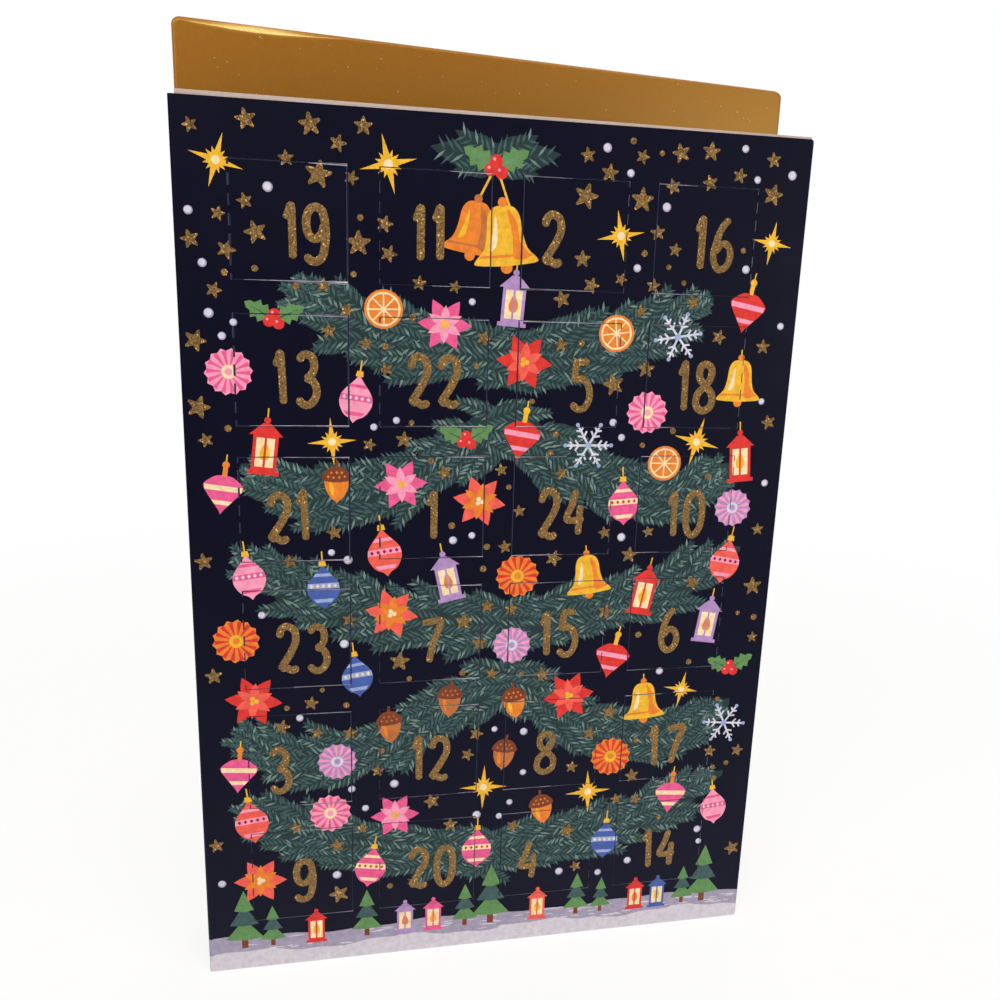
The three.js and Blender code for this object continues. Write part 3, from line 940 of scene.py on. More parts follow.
def lay_scattered(art, rng, kind, lines, boxes, rounds, thickness):
    """Glitter stars, glitter dots or snow, each clear of all that is laid before it."""
    tries, most, gap = SCATTERED[kind]
    laid = 0
    for _ in range(tries):
        if laid == most:
            break
        x, z = rng.uniform(3, 142), rng.uniform(12, 207)
        radius = {name: rng.uniform(*ends) for name, ends in SCATTERED_RADII.items()}[kind]
        if near_line(x, z, lines, thickness * 0.6) and (kind == "snow" or radius > LARGEST_ON_FIR):
            continue
        if not clear_of(x, z, radius + gap, boxes, rounds):
            continue
        if kind == "star":
            lay_star(art, rng, x, z, radius)
        elif kind == "dot":
            art.lay("glitter", disc((x, z), radius, 12))
        else:
            art.lay("snow_shade", disc((x, z), radius, 14))
            art.lay("white", disc((x - radius * 0.08, z + radius * 0.08), radius * 0.76, 12))
        rounds.append((x, z, radius))
        laid += 1


def front_artwork(sizes):
    rng = random.Random(sizes.seed)
    art, rounds = Artwork(), []
    thickness = sizes.garland_thickness / MM
    lines = [lay_garland(art, rng, knots, thickness) for knots in GARLANDS]
    lay_snow(art, rng, sizes.snow_height / MM)
    lay_foot_row(art, rounds)
    lay_bells(art, rng, rounds)
    room = (lines, numeral_boxes(sizes), rounds, thickness)
    lay_ornaments(art, rng, *room)
    lay_sparks(art, rng, *room)
    for kind in SCATTERED:
        lay_scattered(art, rng, kind, *room)
    lay_wear(art, rng, sizes)
    return art


# Sheets of printed board

def lay_flat(outlines, art):
    """Cuts the print along the outlines. Returns its corners, and its triangles with their outlines and ink."""
    corners, faces = [], []
    for points in [*outlines, *(points for _, points in art.shapes)]:
        faces.append(list(range(len(corners), len(corners) + len(points))))
        corners.extend(Vector(p) for p in points)
    inside_constraints = 1
    points, _, triangles, _, _, sources = delaunay_2d_cdt(corners, [], faces, inside_constraints, 1e-4, True)
    count = len(outlines)
    made = []
    for triangle, ids in zip(triangles, sources):
        regions = {i for i in ids if i < count}
        top = max((i for i in ids if i >= count), default=-1)
        made.append((triangle, regions, art.shapes[top - count][0] if top >= 0 else "night"))
    return points, made


def without_regions(triangles):
    return [(triangle, name) for triangle, _, name in triangles]


def picked(geometry, kind):
    """The geometry of one kind, "Vert", "Edge" or "Face", in an operator's result."""
    return [g for g in geometry if isinstance(g, getattr(bmesh.types, f"BM{kind}"))]


def printed_sheet(name, points, triangles, place, thickness, colours, relief=0.0, back="board", edge="cut_edge"):
    """A closed sheet: inked triangles in front, raised glitter, and its own finish on the cut edges and the back.
    place(x, z, depth) puts a place of the drawing, in millimetres, into the frame."""
    names = sorted({ink_name for _, ink_name in triangles} | {back, edge})
    mesh = bmesh.new()
    used = {}
    for triangle, ink_name in triangles:
        for index in triangle:
            if index not in used:
                x, z = points[index]
                used[index] = mesh.verts.new((x, 0.0, z))
        mesh.faces.new([used[i] for i in triangle]).material_index = names.index(ink_name)
    walls = bmesh.ops.extrude_edge_only(mesh, edges=[e for e in mesh.edges if e.is_boundary])["geom"]
    bmesh.ops.translate(mesh, verts=picked(walls, "Vert"), vec=(0, thickness, 0))
    rim = picked(walls, "Edge")
    filled = bmesh.ops.triangle_fill(mesh, edges=rim, use_beauty=False, use_dissolve=False)["geom"]
    for geometry, finish in ((walls, edge), (filled, back)):
        for face in picked(geometry, "Face"):
            face.material_index = names.index(finish)
    if relief and "glitter" in names:
        spots = [f for f in mesh.faces if f.material_index == names.index("glitter")]
        raised = bmesh.ops.extrude_face_region(mesh, geom=spots)["geom"]
        bmesh.ops.translate(mesh, verts=picked(raised, "Vert"), vec=(0, -relief, 0))
    bmesh.ops.recalc_face_normals(mesh, faces=mesh.faces)
    put_in_place(mesh, place)
    bmesh.ops.recalc_face_normals(mesh, faces=mesh.faces)
    return new_piece(name, mesh, [print_material(n, colours) for n in names])


def put_in_place(mesh, place):
    for vertex in mesh.verts:
        vertex.co = place(vertex.co.x, vertex.co.z, vertex.co.y)


def new_piece(name, mesh, materials):
    data = bpy.data.meshes.new(name)
    mesh.to_mesh(data)
    mesh.free()
    for material in materials:
        data.materials.append(material)
    made = bpy.data.objects.new(name, data)
    bpy.context.scene.collection.objects.link(made)
    return made


def across(x):
    """How far a place of the frame is from the fold's side of the card, in millimetres."""
    return (x - CARD_LEFT) / MM


def card_place(x, z, depth):
    """A place on the front leaf, with its depth behind the printed face, all in millimetres."""
    return Vector((CARD_LEFT + x * MM, FACE_Y + depth * MM, z * MM))


def back_place(x, z, depth):
    """A place on the back leaf, which is turned about the middle of the fold."""
    return LEAF_PIVOT + LEAF_TURN @ Vector((x * MM - FOLD_RADIUS, FOLD_RADIUS - BOARD + depth * MM, z * MM))


class Door(NamedTuple):
    """A door as it is cut, in millimetres on the card. Hinge and free are the places of its two upright sides."""
    number: int
    outline: list
    window: list
    hinge: float
    free: float
    bottom: float
    top: float


def door_frames(sizes):
    """Every door, from its box in the frame. Its hinge line is cut between the ties."""
    cut, tie = sizes.visible_cut / MM, sizes.tie / MM
    grow = sizes.cut / MM - cut
    doors = []
    for row in NUMERAL_ROWS:
        for column, (number, _, _) in enumerate(row):
            low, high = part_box(f"door_{number:02d}")
            left, right = across(low.x), across(high.x)
            bottom, top = low.z / MM - grow, high.z / MM + grow
            side = 1 if column < LEFT_HINGED_COLUMNS else -1
            hinge, free = (left, right + grow) if side > 0 else (right, left - grow)
            slot = hinge + side * cut
            pitch = (top - bottom + cut) / sizes.ties
            outline = [(free, bottom), (free, top), (slot, top)]
            for k in reversed(range(sizes.ties)):
                middle = bottom + (k + 0.5) * pitch - cut / 2
                above, below = middle + tie / 2, middle - tie / 2
                outline += [(slot, above), (hinge, above), (hinge, below), (slot, below)]
            outline.append((slot, bottom))
            window = rectangle(hinge, free + side * cut, bottom - cut, top + cut)
            doors.append(Door(number, wound(outline), wound(window), hinge, free, bottom, top))
    return doors


def door_place(door, lift, corner):
    """Places on a door, whose free side springs out a little, more at one corner."""
    def place(x, z, depth):
        reach = min(max((x - door.hinge) / (door.free - door.hinge), 0), 1)
        rise = (z - door.bottom) / (door.top - door.bottom)
        out = lift * reach ** 3 * (1 + corner * (rise - 0.5))
        return card_place(x, z, depth - out)
    return place


def door_places(sizes):
    rng = random.Random(sizes.seed + 1)
    places = {}
    for door in door_frames(sizes):
        lift = sizes.door_lift / MM * rng.uniform(0.25, 1.0) * worn(door.free, door.bottom)
        places[door.number] = door_place(door, lift, rng.uniform(-0.8, 0.8))
    return places


def leaf_outline(left, steps=4):
    """The outline of a leaf of the card, square towards the fold and rounded at its free corners."""
    points = [(left, 0.0)]
    for middle, start in ((CORNER_RADIUS, -math.pi / 2), (CARD_HEIGHT - CORNER_RADIUS, 0.0)):
        for i in range(steps + 1):
            x, z = polar(CORNER_RADIUS, start + math.pi / 2 * i / steps)
            points.append((CARD_WIDTH - CORNER_RADIUS + x, middle + z))
    points.append((left, CARD_HEIGHT))
    return points


# The pieces of the card

class CARD_OT_front_print(bpy.types.Operator):
    """Print the front leaf and its doors, cut along the doors' lines"""
    bl_idname = "advent_card.front_print"
    bl_label = "Front print and doors"

    def execute(self, context):
        sizes, colours = context.scene.card_print, context.scene.card_colours
        doors = door_frames(sizes)
        outline = leaf_outline(BOARD_START)
        outlines = [outline, *(door.window for door in doors), *(door.outline for door in doors)]
        points, triangles = lay_flat(outlines, front_artwork(sizes))
        windows, shapes = range(1, 1 + len(doors)), range(1 + len(doors), 1 + 2 * len(doors))
        board, parts = [], {door.number: [] for door in doors}
        for triangle, regions, name in triangles:
            shape = next((i for i in shapes if i in regions), None)
            if shape is not None:
                parts[doors[shape - shapes[0]].number].append((triangle, name))
            elif 0 in regions and not any(i in regions for i in windows):
                board.append((triangle, name))
        sheet = {"thickness": BOARD / MM, "colours": colours, "relief": sizes.glitter_relief / MM}
        front = printed_sheet("printed_front", points, board, card_place, **sheet)
        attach(front, "front_leaf")
        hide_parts("front_board")
        places = door_places(sizes)
        for number, faces in parts.items():
            place = places[number]
            piece = printed_sheet(f"printed_door_{number:02d}", points, faces, place, **sheet, edge="score")
            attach(piece, f"door_{number:02d}")
            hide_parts(f"door_{number:02d}")
        return {"FINISHED"}


# Shares of the brush's radius at which its round ends have a ring
STROKE_END_SHARES = (0.0, 0.12, 0.35, 0.65, 1.0)


def brush_stroke(points, radius):
    """A round stroke along a line, as a curve whose ends are rounded."""
    line = smooth(points, 7, False)
    lengths = running_lengths(line)
    total = lengths[-1]
    stops = [(p, s) for p, s in zip(line, lengths) if radius * 0.9 < s < total - radius * 0.9]
    for share in STROKE_END_SHARES:
        for s in (radius * share, total - radius * share):
            k = stretch_at(lengths, s + 1e-9)
            part = (s - lengths[k]) / max(lengths[k + 1] - lengths[k], 1e-9)
            stops.append((tuple(a + (b - a) * part for a, b in zip(line[k], line[k + 1])), s))
    stops.sort(key=lambda stop: stop[1])
    curve = bpy.data.curves.new("stroke", "CURVE")
    curve.dimensions = "3D"
    curve.fill_mode = "FULL"
    curve.bevel_depth = 1.0
    curve.bevel_resolution = 3
    curve.use_fill_caps = True
    spline = curve.splines.new("POLY")
    spline.points.add(len(stops) - 1)
    for point, ((x, z), s) in zip(spline.points, stops):
        end = min(min(s, total - s) / radius, 1)
        point.co = (x, 0, z, 1)
        point.radius = radius * math.sqrt(max(1 - (1 - end) ** 2, 0.0)) + 0.02
    return curve


def add_figure(mesh, figure, left, bottom, width, height, stroke, lean):
    """One figure of a numeral, from its brush strokes."""
    radius = stroke / 2
    left, bottom, width, height = left + radius, bottom + radius, width - stroke, height - stroke
    for points in FIGURES[figure]:
        curve = brush_stroke([(left + x * width + lean * y, bottom + y * height) for x, y in points], radius)
        holder = bpy.data.objects.new("stroke", curve)
        bpy.context.scene.collection.objects.link(holder)
        bpy.context.view_layer.update()
        data = bpy.data.meshes.new_from_object(holder.evaluated_get(bpy.context.evaluated_depsgraph_get()))
        mesh.from_mesh(data)
        bpy.data.objects.remove(holder)
        bpy.data.curves.remove(curve)
        bpy.data.meshes.remove(data)


def plane_cut(mesh, place, normal, nearness=1e-7, **more):
    """Cuts a mesh along a plane and returns the edges of the cut."""
    geometry = [*mesh.verts, *mesh.edges, *mesh.faces]
    cut = bmesh.ops.bisect_plane(mesh, geom=geometry, dist=nearness, plane_co=place, plane_no=normal, **more)
    return picked(cut["geom_cut"], "Edge")


def cut_off(mesh, place, normal, nearness=1e-7):
    """Takes away what lies beyond a plane and closes the cut."""
    rim = plane_cut(mesh, place, normal, nearness, clear_outer=True)
    bmesh.ops.holes_fill(mesh, edges=rim, sides=0)


class CARD_OT_numerals(bpy.types.Operator):
    """Lay the glitter numerals on the doors"""
    bl_idname = "advent_card.numerals"
    bl_label = "Glitter numerals"

    def execute(self, context):
        sizes, colours = context.scene.card_print, context.scene.card_colours
        rng = random.Random(sizes.seed + 2)
        material = print_material("glitter", colours)
        places = door_places(sizes)
        for number, x, z in NUMERALS:
            mesh = self.numeral(sizes, rng, number, x, z)
            put_in_place(mesh, places[number])
            piece = new_piece(f"numeral_{number:02d}", mesh, [material])
            soften(piece, 60)
            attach(piece, f"door_{number:02d}")
        return {"FINISHED"}

    def numeral(self, sizes, rng, number, x, z):
        """A numeral about its place on the card, pressed flat and cut off just behind the board's face."""
        stroke, height = sizes.stroke / MM, sizes.numeral_height / MM
        mesh = bmesh.new()
        left = x - numeral_width(number, sizes) / 2
        for figure in map(int, str(number)):
            width = figure_width(figure, sizes)
            bottom = z - height / 2 + rng.uniform(-0.35, 0.35)
            high, thick, lean = rng.uniform(0.96, 1.02), rng.uniform(0.94, 1.06), rng.uniform(-0.2, 0.3)
            add_figure(mesh, figure, left, bottom, width, height * high, stroke * thick, lean)
            left += width + sizes.figure_gap / MM
        bmesh.ops.scale(mesh, vec=(1, sizes.relief / (stroke / 2 * MM), 1), verts=mesh.verts)
        cut_off(mesh, (0, 0.02, 0), (0, 1, 0), 1e-5)
        bmesh.ops.recalc_face_normals(mesh, faces=mesh.faces)
        return mesh


def picture_artwork(doors, margin):
    """One small picture behind each door, on a pale ground set in from the cell of its door."""
    art = Artwork()
    grounds = ("pale_blue", "cream", "pale_pink", "leaf_green", "lilac", "yellow", "coral")
    for i, door in enumerate(doors):
        left, right = sorted((door.hinge, door.free))
        cell = rectangle(left + margin, right - margin, door.bottom + margin, door.top - margin)
        art.lay(grounds[(i * 3) % len(grounds)], cell)
        x, z = (left + right) / 2, (door.bottom + door.top) / 2
        draw, _, inks = ORNAMENTS[(i * 3 + 1) % len(ORNAMENTS)]
        draw(art.pen((x, z), PICTURE_HEIGHT), *inks)
        for dx in (-PICTURE_STAR, PICTURE_STAR):
            for dz in (-PICTURE_STAR, PICTURE_STAR):
                art.lay("white", star((x + dx, z + dz), 1.5, 0.6, 6))
    return art


class CARD_OT_picture_sheet(bpy.types.Operator):
    """Print the sheet behind the doors"""
    bl_idname = "advent_card.picture_sheet"
    bl_label = "Picture sheet"

    def execute(self, context):
        sizes, sheets, colours = context.scene.card_print, context.scene.card_sheets, context.scene.card_colours
        low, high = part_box("picture_sheet")
        left, right, bottom = across(low.x), across(high.x), low.z / MM
        places = [v.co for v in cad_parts["picture_sheet"].data.vertices]
        middle = (left + right) / 2
        left_top = max(round(v.z / MM, 3) for v in places if across(v.x) < middle)
        right_top = max(round(v.z / MM, 3) for v in places if across(v.x) > middle)
        outline = [(left, bottom), (right, bottom), (right, right_top), (left, left_top)]
        art = picture_artwork(door_frames(sizes), sheets.picture_frame / MM)
        inner = rectangle(left, right, bottom, CARD_HEIGHT - sheets.bare_strip / MM)
        art.shapes[:0] = [("board", outline), ("backing", inner)]
        points, triangles = lay_flat([outline], art)
        depth, thickness = (low.y - FACE_Y) / MM, (high.y - low.y) / MM

        def place(x, z, behind):
            return card_place(x, z, depth + behind)

        faces = without_regions(triangles)
        piece = printed_sheet("printed_picture_sheet", points, faces, place, thickness, colours)
        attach(piece, "front_leaf")
        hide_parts("picture_sheet")
        film = finish_material("glue_film", "paper_fibre", GLUE_COLOUR, {"Depth": 0.1}, specular=0.4)
        paint("glue_layer", film)
        return {"FINISHED"}


def run_out(mesh, vector):
    """Carries the whole section along a straight line and closes it."""
    grown = bmesh.ops.extrude_face_region(mesh, geom=list(mesh.faces), use_keep_orig=True)["geom"]
    bmesh.ops.translate(mesh, verts=picked(grown, "Vert"), vec=vector)
    bmesh.ops.remove_doubles(mesh, verts=mesh.verts, dist=1e-8)
    bmesh.ops.recalc_face_normals(mesh, faces=mesh.faces)


def soften(piece, degrees=35):
    for face in piece.data.polygons:
        face.use_smooth = True
    piece.data.set_sharp_from_angle(angle=math.radians(degrees))


class CARD_OT_fold(bpy.types.Operator):
    """Bend the printed board round the fold, from the front leaf round to the back leaf"""
    bl_idname = "advent_card.fold"
    bl_label = "Fold"

    def execute(self, context):
        mesh = self.bent_strip(context.scene.card_sheets.fold_steps)
        lit, shaded = (level * MM for level in snow_levels(0, context.scene.card_print.snow_height / MM))
        for level in (lit, shaded):
            plane_cut(mesh, (0, 0, level), (0, 0, 1))
        names = ("night", "board", "snow_shade", "snow_light")
        for face in mesh.faces:
            name = "board"
            if self.printed(face):
                z = face.calc_center_median().z
                name = "snow_light" if z < lit else "snow_shade" if z < shaded else "night"
            face.material_index = names.index(name)
        piece = new_piece("printed_fold", mesh, [print_material(name, context.scene.card_colours) for name in names])
        soften(piece)
        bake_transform(piece)
        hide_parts("spine_fold")
        return {"FINISHED"}

    def bent_strip(self, steps):
        """A level piece of the front leaf and the bend that follows it, run up over the height of the card."""
        start = Vector((BOARD_LOW.x, FACE_Y, 0))
        mesh = bmesh.new()
        edge = mesh.edges.new((mesh.verts.new(start), mesh.verts.new(start + Vector((0, BOARD, 0)))))
        flat = bmesh.ops.extrude_edge_only(mesh, edges=[edge])["geom"]
        bmesh.ops.translate(mesh, verts=picked(flat, "Vert"), vec=(LEAF_PIVOT.x - start.x, 0, 0))
        last = [e for e in picked(flat, "Edge") if all(abs(v.co.x - LEAF_PIVOT.x) < 1e-7 for v in e.verts)]
        last += list({v for e in last for v in e.verts})
        turn = LEAF_ANGLE - math.pi
        bmesh.ops.spin(mesh, geom=last, cent=LEAF_PIVOT, axis=(0, 0, 1), angle=turn, steps=steps)
        run_out(mesh, (0, 0, CARD_HEIGHT * MM))
        return mesh

    def printed(self, face):
        """Whether a face of the fold is on the outside of the card."""
        middle = face.calc_center_median()
        out = Vector((middle.x - LEAF_PIVOT.x, middle.y - LEAF_PIVOT.y, 0))
        outer = out.length > FOLD_RADIUS - BOARD / 2 and abs(face.normal.z) < 0.5 and face.normal.dot(out) > 0
        return outer or (out.x > 0 and face.normal.y < -0.5 and out.y < 0)


class CARD_OT_back_leaf(bpy.types.Operator):
    """Print the outside of the back leaf"""
    bl_idname = "advent_card.back_leaf"
    bl_label = "Back leaf"

    def execute(self, context):
        sizes, colours = context.scene.card_print, context.scene.card_colours
        outline = leaf_outline(FOLD_RADIUS / MM)
        plain = Artwork()
        plain.lay("board", outline)
        points, triangles = lay_flat([outline], plain)
        piece = printed_sheet("printed_back_leaf", points, without_regions(triangles), back_place, BOARD / MM, colours)
        points, triangles = lay_flat([outline], self.starry_print(sizes, outline))
        flipped = [(triangle[::-1], name) for triangle, name in without_regions(triangles)]
        relief = sizes.glitter_relief / MM

        def place(x, z, depth):
            return back_place(x, z, BOARD / MM + BACK_INK - depth)

        skin = printed_sheet("back_print", points, flipped, place, BACK_INK, colours, relief, back="night")
        for made in (piece, skin):
            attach(made, "back_leaf")
        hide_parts("back_board")
        return {"FINISHED"}

    def starry_print(self, sizes, outline):
        rng = random.Random(sizes.seed + 3)
        art = Artwork()
        art.lay("night", outline)
        rounds = []
        for _ in range(700):
            x, z = rng.uniform(6, CARD_WIDTH - 6), rng.uniform(6, CARD_HEIGHT - 6)
            if len(rounds) < BACK_STARS and clear_of(x, z, 9, [], rounds):
                radius = rng.uniform(1.5, 2.8)
                lay_star(art, rng, x, z, radius)
                rounds.append((x, z, radius))
        return art


def paint(node_name, material):
    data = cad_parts[node_name].data
    data.materials.clear()
    data.materials.append(material)


# The envelope

def turned_box(name):
    """Lowest and highest corner of an envelope's node along the back leaf's own directions."""
    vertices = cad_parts[f"envelope_{name}"].data.vertices
    places = [LEAF_TURN.transposed() @ (v.co - LEAF_PIVOT) for v in vertices]
    return Vector(map(min, *places)), Vector(map(max, *places))


def envelope_outline(settings, steps=6, top_steps=30):
    """The places round the envelope as seen from the front: corner middle, direction outwards, and how far the
    fold there rounds back from the front and in from the edge."""
    low, high = turned_box("bottom_fold")[0], turned_box("top_fold")[1]
    low.x, high.x = turned_box("left_fold")[0].x, turned_box("right_fold")[1].x
    radii = {}
    for side in ("left", "right", "bottom", "top"):
        near, far = turned_box(f"{side}_fold")
        radii[side] = (far.y - near.y) / 2
    corner, width = settings.corner, high.x - low.x

    def crease(x):
        apart = min(abs((x - low.x) / width - LOOSE_PLACE) / LOOSE_REACH, 1.0)
        return settings.crease + (settings.loose_crease - settings.crease) * math.cos(apart * math.pi / 2) ** 2

    outline = []
    for x, z, first, second, start in (
        (high.x - corner, low.z + corner, "bottom", "right", -math.pi / 2),
        (high.x - corner, high.z - corner, "right", "top", 0.0),
        (low.x + corner, high.z - corner, "top", "left", math.pi / 2),
        (low.x + corner, low.z + corner, "left", "bottom", math.pi),
    ):
        ends = [crease(x) if side == "top" else radii[side] for side in (first, second)]
        for i in range(steps + 1):
            share = i / steps
            turn, blend = start + math.pi / 2 * share, share ** 2 * (3 - 2 * share)
            depth = radii[first] + (radii[second] - radii[first]) * blend
            outward = Vector((math.cos(turn), 0, math.sin(turn)))
            outline.append((Vector((x, low.y, z)), outward, depth, ends[0] + (ends[1] - ends[0]) * blend))
        if second == "top":
            for i in range(1, top_steps):
                along = x + (low.x + corner - x) * i / top_steps
                outline.append((Vector((along, low.y, z)), Vector((0, 0, 1)), radii["top"], crease(along)))
    return outline


def folded_sheet(settings, gold, inside, steps=10):
    """The front panel and the folds round it as one sheet, grown outwards ring by ring."""
    outline = envelope_outline(settings)

    def place(index, turn):
        """A place of the sheet, which turns from the front panel's plane to behind it."""
        middle, outward, depth, crease = outline[index]
        rise, ahead, inwards = math.sin(turn), math.cos(turn), depth
        if turn < math.pi / 2:
            flatness = 1 + TOP_FLATNESS * max(outward.z, 0) ** 2
            rise, ahead, inwards = rise ** flatness, ahead ** flatness, crease
        return middle + outward * (settings.corner - inwards * (1 - rise)) + Vector((0, depth * (1 - ahead), 0))

    mesh = bmesh.new()
    along = mesh.verts.layers.int.new("along")
    first = [mesh.verts.new(place(i, 0.0) - outline[i][1] * PANEL_MARGIN) for i in range(len(outline))]
    for i, vertex in enumerate(first):
        vertex[along] = i
    rim = list(mesh.faces.new(first).edges)
    for k in range(steps + 1):
        grown = bmesh.ops.extrude_edge_only(mesh, edges=rim)["geom"]
        fresh = set(picked(grown, "Vert"))
        for vertex in fresh:
            vertex.co = place(vertex[along], math.pi * k / steps)
        rim = [e for e in picked(grown, "Edge") if set(e.verts) <= fresh]
    bmesh.ops.recalc_face_normals(mesh, faces=mesh.faces)
    panel = max(mesh.faces, key=lambda face: face.calc_area())
    if panel.normal.y > 0:
        bmesh.ops.reverse_faces(mesh, faces=mesh.faces)
    bmesh.ops.transform(mesh, matrix=FROM_LEAF, verts=mesh.verts)
    piece = new_piece("folded_sheet", mesh, [gold, inside])
    soften(piece)
    wall = piece.modifiers.new("paper", "SOLIDIFY")
    wall.thickness = settings.paper
    wall.offset = -1
    wall.material_offset = 1
    wall.material_offset_rim = 0
    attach(piece, "envelope")
    for side in ("left_fold", "right_fold", "bottom_fold", "top_fold", "front_panel"):
        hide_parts(f"envelope_{side}")


def round_top_corners(mesh, radius, steps=3):
    """Takes the two upper corners off a flat sheet that stands across the x direction."""
    left, right = (edge(v.co.x for v in mesh.verts) for edge in (min, max))
    top = max(v.co.z for v in mesh.verts)
    for side, x in ((-1, left + radius), (1, right - radius)):
        for i in range(steps):
            turn = math.pi / 2 * (i + 0.5) / steps
            outward = Vector((side * math.cos(turn), 0, math.sin(turn)))
            cut_off(mesh, Vector((x, 0, top - radius)) + outward * radius, outward)


def closing_flap(settings, gold, inside):
    """The closing flap with its upper corners rounded like the folded sheet's, and the crease it turns on."""
    low, high = turned_box("closing_flap")
    bend = turned_box("top_fold")[0].z
    flap = bmesh.new()
    flap.from_mesh(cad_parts["envelope_closing_flap"].data)
    bmesh.ops.remove_doubles(flap, verts=flap.verts, dist=1e-7)
    bmesh.ops.transform(flap, matrix=FROM_LEAF.inverted(), verts=flap.verts)
    round_top_corners(flap, settings.corner / 2)
    crease = bmesh.new()
    bmesh.ops.create_cube(crease, size=1.0)
    middle = (low + high) / 2
    width = high.x - low.x - settings.corner
    bmesh.ops.scale(crease, vec=(width, high.y - low.y, bend - high.z), verts=crease.verts)
    bmesh.ops.translate(crease, vec=(middle.x, middle.y, (bend + high.z) / 2), verts=crease.verts)
    upright = [e for e in crease.edges if abs(e.verts[0].co.z - e.verts[1].co.z) > 1e-6]
    bmesh.ops.subdivide_edges(crease, edges=upright, cuts=3, use_grid_fill=True)
    for name, mesh in (("closing_flap", flap), ("flap_crease", crease)):
        bmesh.ops.recalc_face_normals(mesh, faces=mesh.faces)
        for face in mesh.faces:
            face.material_index = 1 if face.normal.y < -0.9 else 0
        bmesh.ops.transform(mesh, matrix=FROM_LEAF, verts=mesh.verts)
        piece = new_piece(name, mesh, [gold, inside])
        if mesh is flap:
            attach(piece, "closing_flap")
            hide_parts("envelope_closing_flap")
        else:
            start, end = (FROM_LEAF @ Vector((middle.x, middle.y, z)) for z in (bend, high.z))
            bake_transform(piece)
            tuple(start)
            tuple(end)


class CARD_OT_envelope(bpy.types.Operator):
    """Give the envelope its gold paper and its rounded folds"""
    bl_idname = "advent_card.envelope"
    bl_label = "Envelope"

    def execute(self, context):
        settings = context.scene.card_envelope
        shine = {"metallic": 0.05, "specular": 0.95, "tint": (1, 1, 0.36)}
        gold = finish_material("pearly_gold", "pearly_paper", settings.gold, {"Flake light": 0.7}, **shine)
        inside = finish_material("pale_gold_inside", "paper_fibre", settings.lining, {"Depth": 0.3}, specular=0.2)
        for name in ("back_panel", "left_flap", "right_flap"):
            paint(f"envelope_{name}", gold)
        folded_sheet(settings, gold, inside)
        closing_flap(settings, gold, inside)
        return {"FINISHED"}


# The stage

class CARD_OT_stage(bpy.types.Operator):
    """Set the floor, the lamps, the world and the camera"""
    bl_idname = "advent_card.stage"
    bl_label = "Stage"

    def execute(self, context):
        settings = context.scene.card_stage
        context.scene.view_settings.view_transform = "Standard"
        mesh = bmesh.new()
        bmesh.ops.create_grid(mesh, x_segments=1, y_segments=1, size=6.0)
        floor = new_piece("floor", mesh, [floor_material(settings.floor)])
        self.world(context.scene, settings)
        for name, (place, width, colour) in LAMPS.items():
            self.lamp(f"{name}_lamp", place, width, colour, getattr(settings, f"{name}_power"))
        self.camera(context.scene, settings)
        return {"FINISHED"}

    def world(self, scene, settings):
        """White to the camera, a dim room to reflections, and a soft warm light to all else."""
        world = scene.world = bpy.data.worlds.new("studio")
        world.use_nodes = True
        tree = world.node_tree
        tree.nodes.clear()
        ray = node(tree, "ShaderNodeLightPath").outputs
        seen = maths(tree, "MAXIMUM", ray["Is Camera Ray"], ray["Is Transmission Ray"])
        dimmer = settings.room_level - settings.world_level
        level = maths(tree, "MULTIPLY_ADD", ray["Is Glossy Ray"], dimmer, settings.world_level)
        soft = node(tree, "ShaderNodeBackground", {"Color": (1, 0.985, 0.965, 1), "Strength": level})
        plain = node(tree, "ShaderNodeBackground", {"Color": (1, 1, 1, 1), "Strength": 1.0})
        mixed = node(tree, "ShaderNodeMixShader", {0: seen, 1: soft.outputs[0], 2: plain.outputs[0]})
        node(tree, "ShaderNodeOutputWorld", {"Surface": mixed.outputs[0]})

    def lamp(self, name, place, width, colour, power):
        data = bpy.data.lights.new(name, "AREA")
        data.color = colour
        data.shape = "DISK"
        data.size = width
        data.energy = power
        made = bpy.data.objects.new(name, data)
        made.location = place
        made.rotation_euler = (Vector(LAMP_TARGET) - Vector(place)).to_track_quat("-Z", "Y").to_euler()
        bpy.context.scene.collection.objects.link(made)

    def camera(self, scene, settings):
        data = bpy.data.cameras.new("camera")
        data.sensor_width = 36
        data.lens = settings.lens
        data.clip_start = 0.01
        made = bpy.data.objects.new("camera", data)
        turn = Matrix((CAMERA_RIGHT, -CAMERA_DOWN, -CAMERA_AHEAD)).transposed().to_4x4()
        made.matrix_world = Matrix.Translation(CAMERA_PLACE) @ turn
        scene.collection.objects.link(made)
        scene.camera = made


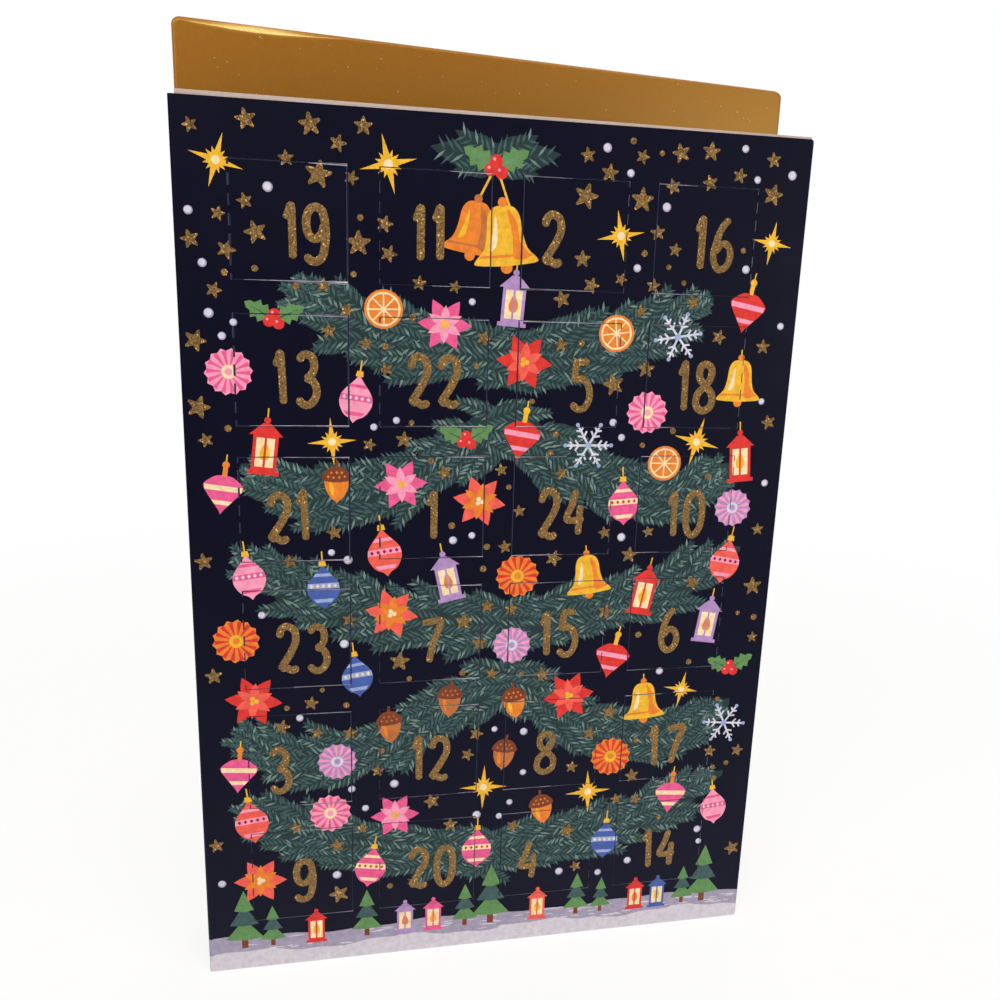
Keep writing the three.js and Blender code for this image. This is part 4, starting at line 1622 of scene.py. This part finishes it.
def floor_material(colour):
    """A pale floor that shows white to the camera but keeps the object's shadow, and that shows reflections a
    pool of light round the object."""
    made = bpy.data.materials.new("floor")
    made.use_nodes = True
    tree = made.node_tree
    shader = tree.nodes["Principled BSDF"]
    shader.inputs["Base Color"].default_value = (*colour, 1)
    shader.inputs["Roughness"].default_value = 0.85
    shader.inputs["Specular IOR Level"].default_value = 0.1
    ray = node(tree, "ShaderNodeLightPath").outputs
    place = node(tree, "ShaderNodeTexCoord").outputs["Object"]
    away = node(tree, "ShaderNodeVectorMath", {0: place}, operation="LENGTH").outputs["Value"]
    wanted = remap(tree, away, 0.84, 1.0, 0.12, 0.6, interpolation_type="SMOOTHSTEP")
    seen = maths(tree, "MULTIPLY", ray["Is Camera Ray"], wanted)
    share = maths(tree, "MAXIMUM", seen, ray["Is Glossy Ray"])
    pool = remap(tree, away, 0.0, -0.8, 0.08, 0.4)
    level = maths(tree, "MULTIPLY_ADD", ray["Is Glossy Ray"], pool, 1.0)
    glow = node(tree, "ShaderNodeEmission", {"Color": (1, 1, 1, 1), "Strength": level})
    mixed = node(tree, "ShaderNodeMixShader", {0: share, 1: shader.outputs[0], 2: glow.outputs[0]})
    tree.links.new(mixed.outputs[0], tree.nodes["Material Output"].inputs["Surface"])
    return made


# The add-on

class CARD_PT_panel(bpy.types.Panel):
    """Sizes, colours and steps of the advent calendar card"""
    bl_idname = "CARD_PT_panel"
    bl_label = "Advent Card"
    bl_space_type = "VIEW_3D"
    bl_region_type = "UI"
    bl_category = "Advent Card"

    def draw(self, context):
        layout = self.layout
        for name in GROUPS:
            box = layout.box()
            group = getattr(context.scene, name)
            for key in group.__annotations__:
                box.prop(group, key)
        for step in STEPS:
            layout.operator(step.bl_idname)


GROUPS = {
    "card_colours": PrintColours,
    "card_print": PrintSizes,
    "card_sheets": CardSizes,
    "card_envelope": EnvelopeSettings,
    "card_stage": StageSettings,
}
STEPS = (
    CARD_OT_front_print,
    CARD_OT_numerals,
    CARD_OT_picture_sheet,
    CARD_OT_fold,
    CARD_OT_back_leaf,
    CARD_OT_envelope,
    CARD_OT_stage,
)


def register():
    for made in (*GROUPS.values(), *STEPS, CARD_PT_panel):
        bpy.utils.register_class(made)
    for name, group in GROUPS.items():
        setattr(bpy.types.Scene, name, PointerProperty(type=group))


def unregister():
    for name in GROUPS:
        delattr(bpy.types.Scene, name)
    for made in (CARD_PT_panel, *reversed(STEPS), *reversed(list(GROUPS.values()))):
        bpy.utils.unregister_class(made)


def main():
    register()
    for step in STEPS:
        module, name = step.bl_idname.split(".")
        getattr(getattr(bpy.ops, module), name)()


if __name__ == "__main__":
    main()
